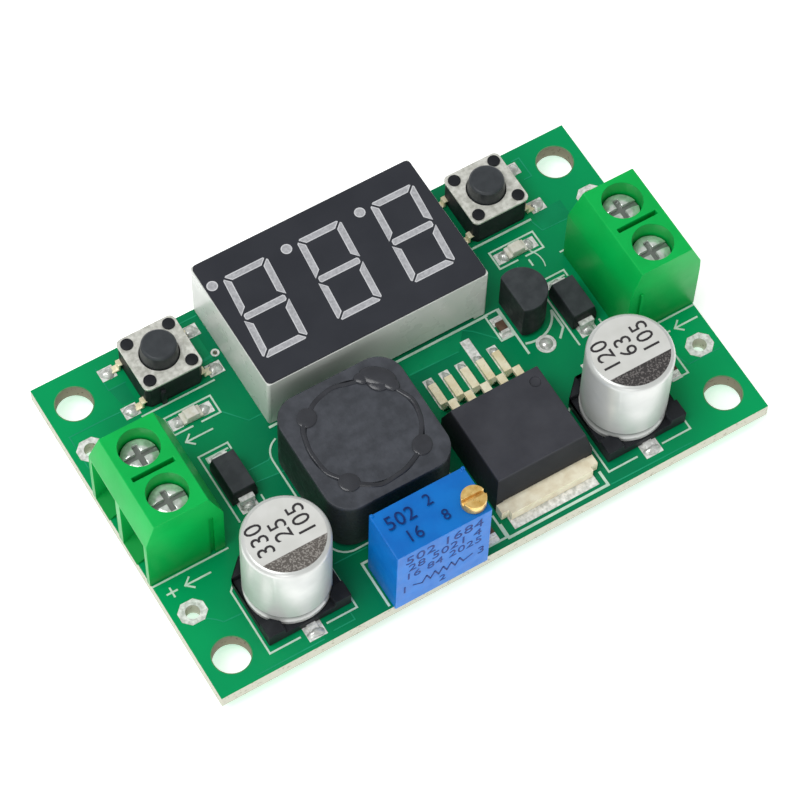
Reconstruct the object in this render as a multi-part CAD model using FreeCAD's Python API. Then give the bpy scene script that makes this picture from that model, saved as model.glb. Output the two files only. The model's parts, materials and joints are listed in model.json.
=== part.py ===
import FreeCAD, Part
import math
import os

# Adjustable step-down voltage converter module with a three digit voltmeter.
# The origin is the middle of the four mounting holes on the underside of the board.
# X runs along the long edge from the output end to the input end, Y to the back, Z up.
# All sizes are in millimetres.

# Circuit board, whose length and width follow from what stands on it
board_thickness = 1.6
mount_hole_diameter = 3.5
mount_hole_inset_x = 2.8
mount_hole_inset_y = 3.2
wire_pad_inset = 1.9
wire_pad_pitch = 18.6
wire_pad_length = 2.6
wire_pad_width = 2.3
wire_hole_diameter = 1.35
via_diameter = 0.45

# Tinned pads, solder and the length to which all leads are trimmed
pad_thickness = 0.05
pad_margin = 0.3
lead_stub = 1.5
solder_height = 1.0
solder_land = 0.45
solder_tip_diameter = 1.1

# Screw terminals, two poles each, the same part at both ends
terminal_y = 0.2
terminal_overhang = 0.1
pole_pitch = 5.08
terminal_end_wall = 0.17
terminal_depth = 7.6
terminal_height = 10.0
terminal_top_start = 1.05
terminal_top_end = 6.4
terminal_front_shoulder = 7.5
terminal_rear_shoulder = 7.0
terminal_end_bevel = 0.27
screw_setback = 3.7
screw_well_diameter = 3.8
screw_head_diameter = 3.5
screw_head_height = 1.2
screw_crown_height = 0.25
screw_shank_diameter = 2.5
screw_running_gap = 0.04
screw_slot_width = 0.55
screw_slot_depth = 0.45
neck_thickness = 0.6
cage_length = 3.2
cage_width = 3.9
cage_height = 4.2
cage_side_wall = 0.45
cage_top_wall = 0.75
cage_floor_wall = 0.6
cage_base = 0.35
cage_travel = 2.0
chamber_gap = 0.1
chamber_front = 1.9
chamber_rear = 5.5
window_width = 4.3
window_top = 7.2
window_ceiling_drop = 1.2
ramp_rise = 1.1
ramp_lip = 0.12
ramp_slot_width = 1.85
divider_slot_length = 4.15
divider_slot_width = 0.45
divider_slot_depth = 2.0
dovetail_setback = 6.1
dovetail_width = 0.5
dovetail_depth = 0.3
contact_bar_thickness = 0.7
contact_bar_width = 2.6
contact_bar_gap = 0.1
contact_pin_width = 0.9
contact_pin_thickness = 0.7
contact_pin_setback = 5.9
contact_hole_diameter = 1.35

# Three digit display, read from the back edge of the board
display_x = -0.05
display_length = 23.0
display_width = 14.2
display_height = 7.25
display_corner = 0.3
display_face_thickness = 0.15
display_face_margin = 0.08
display_face_corner = 0.5
display_wall = 0.9
display_foot_length = 1.3
display_foot_height = 0.45
led_board_thickness = 1.0
led_board_standoff = 0.9
led_board_gap = 0.1
digit_pitch = 7.7
digit_width = 4.64
digit_height = 9.24
digit_lean = 0.095
segment_width = 0.68
segment_gap = 0.2
segment_corner = 0.25
segment_foot = 0.27
dot_diameter = 1.05
dot_offset_x = 3.02
dot_offset_y = 4.3
display_pin_pitch = 2.54
display_pin_edge = 2.02
display_pins_per_row = 6
display_pin_width = 0.5
display_hole_diameter = 0.9

# Tact switches
switch_base_size = 5.8
switch_base_chamfer = 0.4
switch_base_height = 3.2
switch_cover_size = 6.0
switch_cover_thickness = 0.25
switch_cover_corner = 0.6
switch_post_spread = 4.3
switch_post_diameter = 1.2
switch_post_rise = 0.18
switch_post_stem = 0.9
switch_stem_root = 0.5
switch_well_diameter = 4.5
switch_well_floor = 1.3
plunger_diameter = 3.6
plunger_top_diameter = 3.3
plunger_height = 5.0
plunger_edge = 0.18
plunger_guide_gap = 0.08
plunger_flange_diameter = 4.2
plunger_boss_diameter = 1.5
button_travel = 0.25
dome_diameter = 4.2
dome_rise = 0.55
dome_thickness = 0.1
dome_gap = 0.02
switch_leg_width = 0.7
switch_leg_thickness = 0.2
switch_leg_pitch = 4.5
switch_leg_height = 0.9
switch_leg_shoulder = 0.4
switch_leg_reach = 4.6
switch_leg_root = 0.6
switch_pad_length = 1.5
switch_pad_setback = 0.25
switch_peg_offset = 1.3
switch_peg_width = 0.45
switch_peg_depth = 0.3

# Regulator in a surface mount power package with five leads
regulator_width = 10.1
regulator_length = 9.5
regulator_height = 4.4
regulator_side_draft = 0.5
regulator_end_draft = 0.7
regulator_parting = 2.3
regulator_lead_count = 5
regulator_lead_pitch = 1.7
regulator_lead_width = 0.8
regulator_lead_thickness = 0.45
regulator_lead_height = 2.3
regulator_lead_shoulder = 1.0
regulator_foot_length = 2.5
regulator_lead_span = 4.3
regulator_lead_root = 1.0
regulator_pad_toe = 0.8
regulator_long_pad_toe = 2.6
tab_thickness = 1.3
tab_length = 1.45
tab_ear_length = 1.0
tab_neck_width = 8.6
tab_pad_margin = 0.9
slug_length = 7.0
index_mark_diameter = 1.0
index_mark_depth = 0.08
index_mark_inset_x = 1.0
index_mark_inset_y = 2.0

# Shielded inductor
inductor_size = 12.5
inductor_height = 7.35
inductor_corner = 2.5
inductor_bore_diameter = 10.6
drum_flange_diameter = 10.1
drum_flange_thickness = 1.2
drum_core_diameter = 4.6
winding_diameter = 9.6
inductor_terminal_width = 5.0
inductor_terminal_length = 2.2
inductor_terminal_thickness = 0.25
resin_spot_diameter = 1.5
resin_proud = 0.12
resin_depth = 0.8

# Electrolytic capacitors
can_diameter = 8.0
can_top = 10.5
can_edge = 0.55
can_base = 0.7
can_foot_bevel = 0.3
crimp_height = 1.9
crimp_depth = 0.3
crimp_half_width = 0.45
capacitor_base_size = 8.3
capacitor_base_height = 1.0
capacitor_base_chamfer = 1.6
capacitor_post_height = 0.7
capacitor_lead_width = 0.9
capacitor_lead_thickness = 0.25
capacitor_lead_reach = 5.0
capacitor_lead_root = 1.2
capacitor_pad_length = 4.0
capacitor_pad_width = 1.8

# Multi-turn trimmer potentiometer
trimmer_length = 9.53
trimmer_width = 4.83
trimmer_height = 10.0
trimmer_nib_width = 0.35
trimmer_nib_height = 0.2
adjuster_offset_x = 3.66
adjuster_offset_y = 1.03
adjuster_head_diameter = 2.3
adjuster_head_height = 1.2
adjuster_worm_diameter = 1.5
adjuster_worm_base = 1.6
adjuster_running_gap = 0.05
adjuster_slot_width = 0.4
adjuster_slot_depth = 0.5
wiper_wheel_diameter = 5.4
wiper_wheel_thickness = 1.0
wiper_gap = 0.06
wiper_side_gap = 0.15
wiper_brush_size = 0.8
element_thickness = 0.6
element_brush_gap = 0.05
trimmer_base_thickness = 0.9
trimmer_base_recess = 0.3
trimmer_pin_pitch = 2.54
trimmer_pin_width = 0.5
trimmer_hole_diameter = 0.85

# Small transistor-shaped linear regulator with three leads
transistor_radius = 2.33
transistor_flat = 1.13
transistor_height = 4.6
transistor_standoff = 0.4
transistor_lead_pitch = 1.27
transistor_lead_width = 0.42
transistor_drill = 0.75
extra_land_diameter = 1.9
extra_solder_diameter = 1.3
extra_solder_height = 0.35

# Surface mount diodes
diode_body_width = 2.6
diode_body_length = 4.2
diode_top_width = 2.2
diode_top_length = 3.9
diode_height = 2.2
diode_standoff = 0.1
diode_tab_width = 1.45
diode_tab_thickness = 0.2
diode_tab_reach = 0.5
diode_tab_height = 1.1
diode_tab_foot = 1.2

# Indicator lamps
lamp_length = 2.0
lamp_width = 1.2
lamp_carrier_height = 0.35
lamp_lens_length = 1.4
lamp_lens_height = 0.45
lamp_lens_draft = 0.1
lamp_pad_length = 1.1

# Chip parts on both sides, and the microcontroller under the board
chip_length = 1.6
chip_width = 0.8
chip_height = 0.45
chip_cap_length = 0.3
controller_length = 6.5
controller_width = 4.4
controller_height = 0.95
controller_standoff = 0.1
controller_draft = 0.12
controller_lead_pitch = 0.65
controller_leads_per_side = 10
controller_lead_width = 0.22
controller_lead_thickness = 0.12
controller_lead_reach = 1.0
controller_lead_root = 0.3
chip_transistor_gap = 0.62
chip_transistor_shift = 0.2
chip_trimmer_gap = 1.035
chip_trimmer_shift = 0.05
chip_capacitor_gap = 1.45
chip_capacitor_shift = 1.1
controller_chip_gap = 2.35
far_chip_pitch = 3.9

# Heights that everything mounted on the board shares
deck = board_thickness
seat = deck + pad_thickness
under_seat = -pad_thickness
cut_margin = 1.0

# Gaps along the row between the terminals, from the output end to the input end
row_gaps = (2.5, 3.05, 1.8, 1.32, 0.97, 1.1)
row_widths = (
    diode_body_width,
    inductor_size,
    regulator_width,
    transistor_flat + transistor_radius,
    diode_body_width,
)

# Gaps along the back row of display, switches and mounting holes
display_switch_gap = 1.2
switch_hole_gap = 2.05
switch_edge_inset = 4.2
switch_lamp_pitch = 5.45
output_lamp_shift = 0.1
input_lamp_shift = 0.05
display_via_gap = 0.55
switch_via_pitch = 0.8

# Gaps across the board, from the back edge to the front edge
display_edge_overhang = 0.25
display_inductor_gap = 2.05
inductor_trimmer_gap = 2.185
trimmer_edge_overhang = 0.315
display_regulator_gap = 4.05
controller_joint_gap = 0.6

# Gaps round the capacitors, and small shifts between neighbours
output_capacitor_gap = 1.3
output_capacitor_inset = 2.2
input_capacitor_gap = 1.2
input_capacitor_inset = 2.45
inductor_trimmer_shift = 0.2
transistor_land_shift = 0.5
transistor_land_pitch = 3.7

# Board outline: long enough for either row and wide enough for the pieces across it
terminal_inward = terminal_depth - terminal_overhang
middle_row_length = sum(row_widths) + sum(row_gaps) + 2 * terminal_inward
switch_outer_edge = display_length / 2 + display_switch_gap + 2 * switch_leg_reach
back_row_length = 2 * (switch_outer_edge + switch_hole_gap + mount_hole_diameter / 2 + mount_hole_inset_x)
board_length = max(middle_row_length, back_row_length)
back_half_width = display_width - display_edge_overhang + display_inductor_gap
front_half_width = inductor_trimmer_gap + trimmer_width - trimmer_edge_overhang
board_width = back_half_width + inductor_size + front_half_width

# Places along the row, with any spare length shared out between its gaps
row_length = board_length - 2 * terminal_inward
row_stretch = (row_length - sum(row_widths)) / sum(row_gaps)


def row_edge(index):
    """Left edge of one piece of the row between the terminals."""
    return sum(row_widths[:index]) + row_stretch * sum(row_gaps[: index + 1]) - row_length / 2


output_diode_x = row_edge(0) + diode_body_width / 2
inductor_x = row_edge(1) + inductor_size / 2
regulator_x = row_edge(2) + regulator_width / 2
transistor_x = row_edge(3) + transistor_flat
input_diode_x = row_edge(4) + diode_body_width / 2

# Places across the board
diode_y = 0.15
transistor_y = 1.8
display_y = board_width / 2 + display_edge_overhang - display_width / 2
inductor_y = display_y - (display_width + inductor_size) / 2 - display_inductor_gap
regulator_back_y = display_y - display_width / 2 - display_regulator_gap - regulator_lead_span
trimmer_y = trimmer_width / 2 - board_width / 2 - trimmer_edge_overhang

# Places tied to a neighbour
wire_pad_x = board_length / 2 - wire_pad_inset
mount_hole_x = board_length / 2 - mount_hole_inset_x
switch_x = mount_hole_x - mount_hole_diameter / 2 - switch_hole_gap - switch_leg_reach
switch_y = board_width / 2 - switch_edge_inset
output_lamp_x = output_lamp_shift - switch_x
input_lamp_x = input_lamp_shift + switch_x
lamp_y = switch_y - switch_lamp_pitch
via_x = display_x - display_length / 2 - display_via_gap
via_y = switch_y - switch_via_pitch
capacitor_half = capacitor_base_size / 2
output_capacitor_x = inductor_x - inductor_size / 2 - output_capacitor_gap - capacitor_half
output_capacitor_y = capacitor_half + output_capacitor_inset - board_width / 2
input_capacitor_x = regulator_x + regulator_width / 2 + input_capacitor_gap + capacitor_half
input_capacitor_y = capacitor_half + input_capacitor_inset - board_width / 2
trimmer_x = inductor_x + inductor_trimmer_shift
extra_land_x = transistor_x + transistor_land_shift
extra_land_y = transistor_y - transistor_land_pitch
front_pin_row_y = display_y - display_width / 2 + display_pin_edge
front_joints_y = front_pin_row_y - display_hole_diameter / 2 - solder_land
controller_x = display_x
controller_y = front_joints_y - controller_joint_gap - controller_lead_reach - controller_width / 2


def block(x0, x1, y0, y1, z0, z1):
    return Part.makeBox(x1 - x0, y1 - y0, z1 - z0, FreeCAD.Vector(x0, y0, z0))


def centred_block(x, y, length, width, z0, z1):
    return block(x - length / 2, x + length / 2, y - width / 2, y + width / 2, z0, z1)


def disc(x, y, diameter, z0, z1):
    return Part.makeCylinder(diameter / 2, z1 - z0, FreeCAD.Vector(x, y, z0))


def cone(x, y, diameter_low, diameter_high, z0, z1):
    return Part.makeCone(diameter_low / 2, diameter_high / 2, z1 - z0, FreeCAD.Vector(x, y, z0))


def outline(points):
    corners = [FreeCAD.Vector(*point) for point in points]
    return Part.makePolygon(corners + corners[:1])


def prism(points, height, z0):
    """Upright prism on an outline of (x, y) points."""
    face = Part.Face(outline([(x, y, z0) for x, y in points]))
    return face.extrude(FreeCAD.Vector(0, 0, height))


def side_prism(points, y0, y1):
    """Prism along Y on an outline of (x, z) points."""
    face = Part.Face(outline([(x, y0, z) for x, z in points]))
    return face.extrude(FreeCAD.Vector(0, y1 - y0, 0))


def end_prism(points, x0, x1):
    """Prism along X on an outline of (y, z) points."""
    face = Part.Face(outline([(x0, y, z) for y, z in points]))
    return face.extrude(FreeCAD.Vector(x1 - x0, 0, 0))


def rectangle_wire(x0, x1, y0, y1, z):
    return outline([(x0, y0, z), (x1, y0, z), (x1, y1, z), (x0, y1, z)])


def tapered_block(low, high, z0, z1):
    """Moulded block between two (x0, x1, y0, y1) rectangles."""
    wires = [rectangle_wire(*low, z0), rectangle_wire(*high, z1)]
    return Part.makeLoft(wires, True, True)


def cut_all(shape, tools):
    return shape.cut(Part.makeCompound(tools))


def fused(shapes):
    joined = shapes[0]
    for shape in shapes[1:]:
        joined = joined.fuse(shape)
    return joined.removeSplitter()


def set_down(shape, x, y, z, degrees=0.0):
    """Copy of a shape turned about its own Z axis and moved to its place on the board."""
    turn = FreeCAD.Rotation(FreeCAD.Vector(0, 0, 1), degrees)
    copy = shape.copy()
    copy.Placement = FreeCAD.Placement(FreeCAD.Vector(x, y, z), turn).multiply(copy.Placement)
    return copy


def upright_corners(shape):
    return [
        edge
        for edge in shape.Edges
        if abs(edge.Vertexes[0].Z - edge.Vertexes[-1].Z) > abs(edge.Length) * 0.99
    ]


# Places of the leads that pass through the board

def terminal_frames():
    """Place and turn of each terminal, whose own origin is the foot of its wire face."""
    wire_face = board_length / 2 + terminal_overhang
    return {
        "output_terminal": (-wire_face, terminal_y, 0.0),
        "input_terminal": (wire_face, terminal_y, 180.0),
    }


def pole_offsets():
    return (-pole_pitch / 2, pole_pitch / 2)


def chamber_ceiling():
    """Height that leaves the cage its travel."""
    return cage_base + cage_height + cage_travel + chamber_gap


def screw_seat():
    return chamber_ceiling() + neck_thickness


def terminal_pin_places():
    places = []
    inward = contact_pin_setback + contact_pin_thickness / 2
    for x, y, degrees in terminal_frames().values():
        side = 1 if degrees == 0 else -1
        places += [(x + side * inward, y + offset) for offset in pole_offsets()]
    return places


def display_pin_places():
    first = -(display_pins_per_row - 1) / 2
    columns = [display_x + (first + i) * display_pin_pitch for i in range(display_pins_per_row)]
    rows = [display_y + side * (display_width / 2 - display_pin_edge) for side in (-1, 1)]
    return [(x, y) for y in rows for x in columns]


def trimmer_pin_places():
    return [(trimmer_x + i * trimmer_pin_pitch, trimmer_y) for i in (-1, 0, 1)]


def transistor_lead_places():
    return [(transistor_x, transistor_y + i * transistor_lead_pitch) for i in (-1, 0, 1)]


def lead_sets():
    """Lead places with the lead's size along X and Y and the drilled diameter."""
    return (
        (terminal_pin_places(), contact_pin_thickness, contact_pin_width, contact_hole_diameter),
        (display_pin_places(), display_pin_width, display_pin_width, display_hole_diameter),
        (trimmer_pin_places(), trimmer_pin_width, trimmer_pin_width, trimmer_hole_diameter),
        (transistor_lead_places(), transistor_lead_width, transistor_lead_width, transistor_drill),
    )


def wire_pad_places():
    return [
        (side * wire_pad_x, terminal_y + end * wire_pad_pitch / 2)
        for side in (-1, 1)
        for end in (-1, 1)
    ]


def mount_hole_places():
    x = mount_hole_x
    y = board_width / 2 - mount_hole_inset_y
    return [(-x, -y), (x, -y), (x, y), (-x, y)]


# Board, pads and solder

def circuit_board():
    board = centred_block(0, 0, board_length, board_width, 0, deck)
    drills = [(x, y, mount_hole_diameter) for x, y in mount_hole_places()]
    drills += [(x, y, wire_hole_diameter) for x, y in wire_pad_places()]
    drills.append((via_x, via_y, via_diameter))
    for places, _, _, hole in lead_sets():
        drills += [(x, y, hole) for x, y in places]
    return cut_all(board, [disc(x, y, d, -cut_margin, deck + cut_margin) for x, y, d in drills])


def octagonal_land(x, y, z0):
    """Land round a wire hole, its corners cut off at 45 degrees."""
    half_x = wire_pad_length / 2
    half_y = wire_pad_width / 2
    corner = 0.3 * wire_pad_width
    ring = [(half_x, half_y - corner), (half_x - corner, half_y)]
    ring += [(-px, py) for px, py in reversed(ring)]
    ring += [(-px, -py) for px, py in ring]
    land = prism([(x + px, y + py) for px, py in ring], pad_thickness, z0)
    return land.cut(disc(x, y, wire_hole_diameter, z0 - cut_margin, z0 + cut_margin))


def top_pad(x, y, length, width):
    return centred_block(x, y, length, width, deck, seat)


def under_pad(x, y, length, width):
    return centred_block(x, y, length, width, under_seat, 0)


def regulator_columns():
    """The x of each regulator lead, the middle one being part of the heat tab."""
    first = regulator_x - (regulator_lead_count - 1) / 2 * regulator_lead_pitch
    return [first + i * regulator_lead_pitch for i in range(regulator_lead_count)]


def regulator_pads():
    """A pad under each lead, the fourth one drawn out, and a wide pad under the heat tab."""
    pads = []
    foot_end = regulator_back_y + regulator_lead_span
    near = foot_end - regulator_foot_length
    width = regulator_lead_width + 0.5 * pad_margin
    for i, x in enumerate(regulator_columns()):
        toe = regulator_long_pad_toe if i == 3 else regulator_pad_toe
        pads.append(block(x - width / 2, x + width / 2, near, foot_end + toe, deck, seat))
    front = regulator_back_y - regulator_length - tab_length - tab_pad_margin
    half = tab_neck_width / 2 + 0.5 * pad_margin
    slug_back = regulator_back_y - regulator_length + slug_length
    pads.append(block(regulator_x - half, regulator_x + half, front, slug_back, deck, seat))
    return pads


def switch_pads(x, y):
    reach = switch_leg_reach - switch_pad_setback
    width = switch_leg_width + 2 * pad_margin
    return [
        top_pad(x + side * reach, y + end * switch_leg_pitch / 2, switch_pad_length, width)
        for side in (-1, 1)
        for end in (-1, 1)
    ]


def tinned_pads():
    pads = regulator_pads()
    for side in (-1, 1):
        pads += switch_pads(side * switch_x, switch_y)
    for x, y in capacitor_places().values():
        for end in (-1, 1):
            pad_y = y + end * (capacitor_lead_reach - capacitor_pad_length / 2 + 2 * pad_margin)
            pads.append(top_pad(x, pad_y, capacitor_pad_width, capacitor_pad_length))
    diode_pad_length = 4 * pad_margin + diode_tab_reach
    for x in (output_diode_x, input_diode_x):
        for end in (-1, 1):
            pad_y = diode_y + end * (diode_body_length / 2 + pad_margin)
            pads.append(top_pad(x, pad_y, diode_tab_width + pad_margin, diode_pad_length))
    for x in (output_lamp_x, input_lamp_x):
        for end in (-1, 1):
            pads.append(top_pad(x + end * 0.8 * lamp_length, lamp_y, lamp_pad_length, lamp_width))
    for x, y in top_chip_places():
        for end in (-1, 1):
            pad_y = y + end * chip_length / 2
            pads.append(top_pad(x, pad_y, chip_width + pad_margin, 3 * pad_margin))
    inductor_pad_width = inductor_terminal_width + pad_margin
    for end in (-1, 1):
        pad_y = inductor_y + end * (inductor_size - inductor_terminal_length) / 2
        pads.append(top_pad(inductor_x, pad_y, inductor_pad_width, inductor_terminal_length))
    for x, y in bottom_chip_places():
        for end in (-1, 1):
            pad_y = y + end * chip_length / 2
            pads.append(under_pad(x, pad_y, chip_width + pad_margin, 3 * pad_margin))
    for end in (-1, 1):
        pad_y = controller_y + end * (controller_width / 2 + 0.8 * controller_lead_reach)
        for x in controller_lead_columns():
            pads.append(under_pad(x, pad_y, 1.5 * controller_lead_width, controller_lead_reach))
    for x, y in wire_pad_places():
        pads.append(octagonal_land(x, y, deck))
        pads.append(octagonal_land(x, y, -pad_thickness))
    pads.append(disc(extra_land_x, extra_land_y, extra_land_diameter, deck, seat))
    return Part.makeCompound(pads)


def solder_joints():
    """A cone of solder round each trimmed lead, and one dome on the land by the transistor."""
    joints = []
    for places, length, width, hole in lead_sets():
        for x, y in places:
            foot = hole + 2 * solder_land
            fillet = cone(x, y, solder_tip_diameter, foot, -solder_height, 0)
            joints.append(fillet.cut(centred_block(x, y, length, width, -lead_stub, cut_margin)))
    radius = (extra_solder_diameter ** 2 / 4 + extra_solder_height ** 2) / (2 * extra_solder_height)
    centre_z = seat + extra_solder_height - radius
    ball = Part.makeSphere(radius, FreeCAD.Vector(extra_land_x, extra_land_y, centre_z))
    keep_top = seat + 2 * extra_solder_height
    keep = disc(extra_land_x, extra_land_y, 2 * extra_land_diameter, seat, keep_top)
    joints.append(ball.common(keep))
    return Part.makeCompound(joints)


# Screw terminals, built with their wire face at x 0 and the board top at z 0

def terminal_length():
    return 2 * pole_pitch + 2 * terminal_end_wall


def terminal_shell():
    half = terminal_length() / 2
    section = [
        (0, 0),
        (0, terminal_front_shoulder),
        (terminal_top_start, terminal_height),
        (terminal_top_end, terminal_height),
        (terminal_depth, terminal_rear_shoulder),
        (terminal_depth, 0),
    ]
    shell = side_prism(section, -half, half)
    for side in (-1, 1):
        bevel = [
            (side * half, terminal_rear_shoulder),
            (side * (half + cut_margin), terminal_rear_shoulder),
            (side * (half + cut_margin), terminal_height + cut_margin),
            (side * (half - terminal_end_bevel), terminal_height + cut_margin),
            (side * (half - terminal_end_bevel), terminal_height),
        ]
        shell = shell.cut(end_prism(bevel, -cut_margin, terminal_depth + cut_margin))
    link_x = dovetail_setback + dovetail_width / 2
    link_top = terminal_rear_shoulder
    groove = centred_block(link_x, -half, dovetail_width, 2 * dovetail_depth, 0, link_top)
    rib_width = dovetail_width - 2 * chamber_gap
    rib_depth = dovetail_depth - chamber_gap
    rib = centred_block(link_x, half, rib_width, 2 * rib_depth, 0, link_top)
    return shell.cut(groove).fuse(rib)


def wire_window(pole_y):
    """Funnel that leads a wire from the wire face into the chamber of one pole."""
    low = pole_y - window_width / 2
    high = pole_y + window_width / 2
    ramp_top = ramp_lip + ramp_rise
    funnel = [
        (-cut_margin, ramp_lip),
        (0, ramp_lip),
        (chamber_front, ramp_top),
        (chamber_front, window_top - window_ceiling_drop),
        (0, window_top),
        (-cut_margin, window_top),
    ]
    mouth = side_prism(funnel, low, high)
    slot = block(-cut_margin, chamber_front, low, low + ramp_slot_width, -cut_margin, ramp_top)
    return mouth.fuse(slot)


def pole_cavity(pole_y):
    ceiling = chamber_ceiling()
    half = cage_width / 2 + chamber_gap
    floor = cage_base - 0.5 * chamber_gap
    chamber = block(chamber_front, chamber_rear, pole_y - half, pole_y + half, floor, ceiling)
    bore = screw_shank_diameter + 2 * screw_running_gap
    neck = disc(screw_setback, pole_y, bore, ceiling - cut_margin, screw_seat() + cut_margin)
    over = terminal_height + cut_margin
    well = disc(screw_setback, pole_y, screw_well_diameter, screw_seat(), over)
    return [chamber, neck, well, wire_window(pole_y)]


def cage_ceiling():
    """Underside of the cage's top wall with the cage down."""
    return cage_base + cage_height - cage_top_wall


def contact_bar_top():
    return cage_ceiling() - contact_bar_gap


def terminal_contact(pole_y):
    """Bar that the wire is clamped against, bent down into the solder pin."""
    top = contact_bar_top()
    bottom = top - contact_bar_thickness
    rear = contact_pin_setback + contact_pin_thickness
    half = contact_bar_width / 2
    bar = block(chamber_front, rear, pole_y - half, pole_y + half, bottom, top)
    pin_x = contact_pin_setback + contact_pin_thickness / 2
    tip = -board_thickness - lead_stub
    pin = centred_block(pin_x, pole_y, contact_pin_thickness, contact_pin_width, tip, top)
    return fused([bar, pin])


def terminal_housing():
    shell = terminal_shell()
    cavities = []
    for pole_y in pole_offsets():
        cavities += pole_cavity(pole_y)
        cavities.append(terminal_contact(pole_y))
    divider_x = (terminal_top_start + terminal_top_end) / 2
    cavities.append(
        centred_block(
            divider_x,
            0,
            divider_slot_length,
            divider_slot_width,
            terminal_height - divider_slot_depth,
            terminal_height + cut_margin,
        )
    )
    return cut_all(shell, cavities)


def clamp_screw(pole_y):
    """Captive screw: its head turns on the neck of the housing and its tip bears on the bar."""
    base = screw_seat() + 0.5 * screw_running_gap
    top = base + screw_head_height
    rim = top - screw_crown_height
    head = disc(screw_setback, pole_y, screw_head_diameter, base, rim)
    crown = cone(screw_setback, pole_y, screw_head_diameter, 0.6 * screw_head_diameter, rim, top)
    tip = contact_bar_top() + screw_running_gap
    shank = disc(screw_setback, pole_y, screw_shank_diameter, tip, base)
    screw = fused([head, crown, shank])
    slots = [
        centred_block(screw_setback, pole_y, length, width, top - screw_slot_depth, top + cut_margin)
        for length, width in (
            (2 * screw_head_diameter, screw_slot_width),
            (screw_slot_width, 0.62 * screw_head_diameter),
        )
    ]
    return cut_all(screw, slots)


def clamp_cage(pole_y):
    """Rising cage: threaded on the screw, it lifts the wire against the bar."""
    top = cage_base + cage_height
    cage = centred_block(screw_setback, pole_y, cage_length, cage_width, cage_base, top)
    opening = centred_block(
        screw_setback,
        pole_y,
        cage_length + cut_margin,
        cage_width - 2 * cage_side_wall,
        cage_base + cage_floor_wall,
        cage_ceiling(),
    )
    thread = screw_shank_diameter + 2 * screw_running_gap
    hole = disc(screw_setback, pole_y, thread, cage_ceiling() - cut_margin, top + cut_margin)
    return cut_all(cage, [opening, hole])


def save_terminals():
    for name, (x, y, degrees) in terminal_frames().items():
        pole_names = ("back", "front") if degrees else ("front", "back")
        pieces = {
            "housing": terminal_housing(),
            "contacts": Part.makeCompound([terminal_contact(pole_y) for pole_y in pole_offsets()]),
        }
        for pole, pole_y in zip(pole_names, pole_offsets()):
            pieces[f"{pole}_screw"] = clamp_screw(pole_y)
            pieces[f"{pole}_cage"] = clamp_cage(pole_y)
        for piece, shape in pieces.items():
            save(f"{name}_{piece}", set_down(shape, x, y, deck, degrees))


# Three digit display

def leaning(points, digit_x):
    """Slants an outline of a digit, whose foot is towards the back edge of the board."""
    return [(digit_x + x + digit_lean * y, display_y + y) for x, y in points]


def digit_outlines(digit_x):
    """Outlines of the seven segments of one digit, mitred where they meet."""
    a = digit_width / 2
    t = digit_height / 2
    w = segment_width
    c = segment_corner
    shift = segment_gap / math.sqrt(2)
    foot = segment_foot
    bar_end = [(a - shift - c, t), (a - shift - c / 2, t - c / 2), (a - shift - w, t - w)]
    reach = a + foot - 2 * shift
    middle_end = [(reach - w / 2, w / 2), (a - segment_gap, reach - a + segment_gap)]
    upright_top = [(a, t - shift - c), (a - c / 2, t - shift - c / 2), (a - w, t - shift - w)]
    upright = upright_top + [(a - w, foot + w), (a, foot)]
    bar = bar_end + [(-x, y) for x, y in reversed(bar_end)]
    middle = middle_end + [(x, -y) for x, y in reversed(middle_end)]
    middle += [(-x, -y) for x, y in middle]
    shapes = [bar, [(x, -y) for x, y in bar], middle]
    for side in (-1, 1):
        for level in (-1, 1):
            shapes.append([(side * x, level * y) for x, y in upright])
    return [leaning(points, digit_x) for points in shapes]


def display_windows(z0, z1):
    """The twenty four lit areas, as prisms from z0 to z1."""
    windows = []
    for i in (-1, 0, 1):
        digit_x = display_x + i * digit_pitch
        windows += [prism(points, z1 - z0, z0) for points in digit_outlines(digit_x)]
        windows.append(disc(digit_x - dot_offset_x, display_y + dot_offset_y, dot_diameter, z0, z1))
    return windows


def display_levels():
    board_low = deck + led_board_standoff
    board_high = board_low + led_board_thickness
    face_low = deck + display_height - display_face_thickness
    return board_low, board_high, face_low


def display_slab(shrink, corner, z0, z1):
    """Block on the outline of the display, drawn in by a margin, with round upright corners."""
    length = display_length - 2 * shrink
    width = display_width - 2 * shrink
    slab = centred_block(display_x, display_y, length, width, z0, z1)
    return slab.makeFillet(corner, upright_corners(slab))


def display_housing():
    """Open below, with a low slot under each long wall between the feet at the corners."""
    _, board_high, face_low = display_levels()
    housing = display_slab(0, display_corner, deck, face_low)
    foot_slot = centred_block(
        display_x,
        display_y,
        display_length - 2 * display_foot_length,
        display_width + cut_margin,
        deck - cut_margin,
        deck + display_foot_height,
    )
    pocket = centred_block(
        display_x,
        display_y,
        display_length - 2 * display_wall,
        display_width - 2 * display_wall,
        deck - cut_margin,
        board_high,
    )
    windows = display_windows(board_high - cut_margin, face_low + cut_margin)
    return cut_all(housing, [pocket, foot_slot] + windows)


def display_face():
    _, _, face_low = display_levels()
    top = deck + display_height
    face = display_slab(display_face_margin, display_face_corner, face_low, top)
    return cut_all(face, display_windows(face_low - cut_margin, top + cut_margin))


def display_light_guides():
    _, board_high, _ = display_levels()
    return Part.makeCompound(display_windows(board_high, deck + display_height))


def display_lamp_board():
    board_low, board_high, _ = display_levels()
    inset = 2 * (display_wall + led_board_gap)
    return centred_block(
        display_x, display_y, display_length - inset, display_width - inset, board_low, board_high
    )


def display_pins():
    board_low, _, _ = display_levels()
    width = display_pin_width
    return Part.makeCompound(
        [centred_block(x, y, width, width, -lead_stub, board_low) for x, y in display_pin_places()]
    )


# Tact switches, built about their own middle with the pads at z 0

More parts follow.
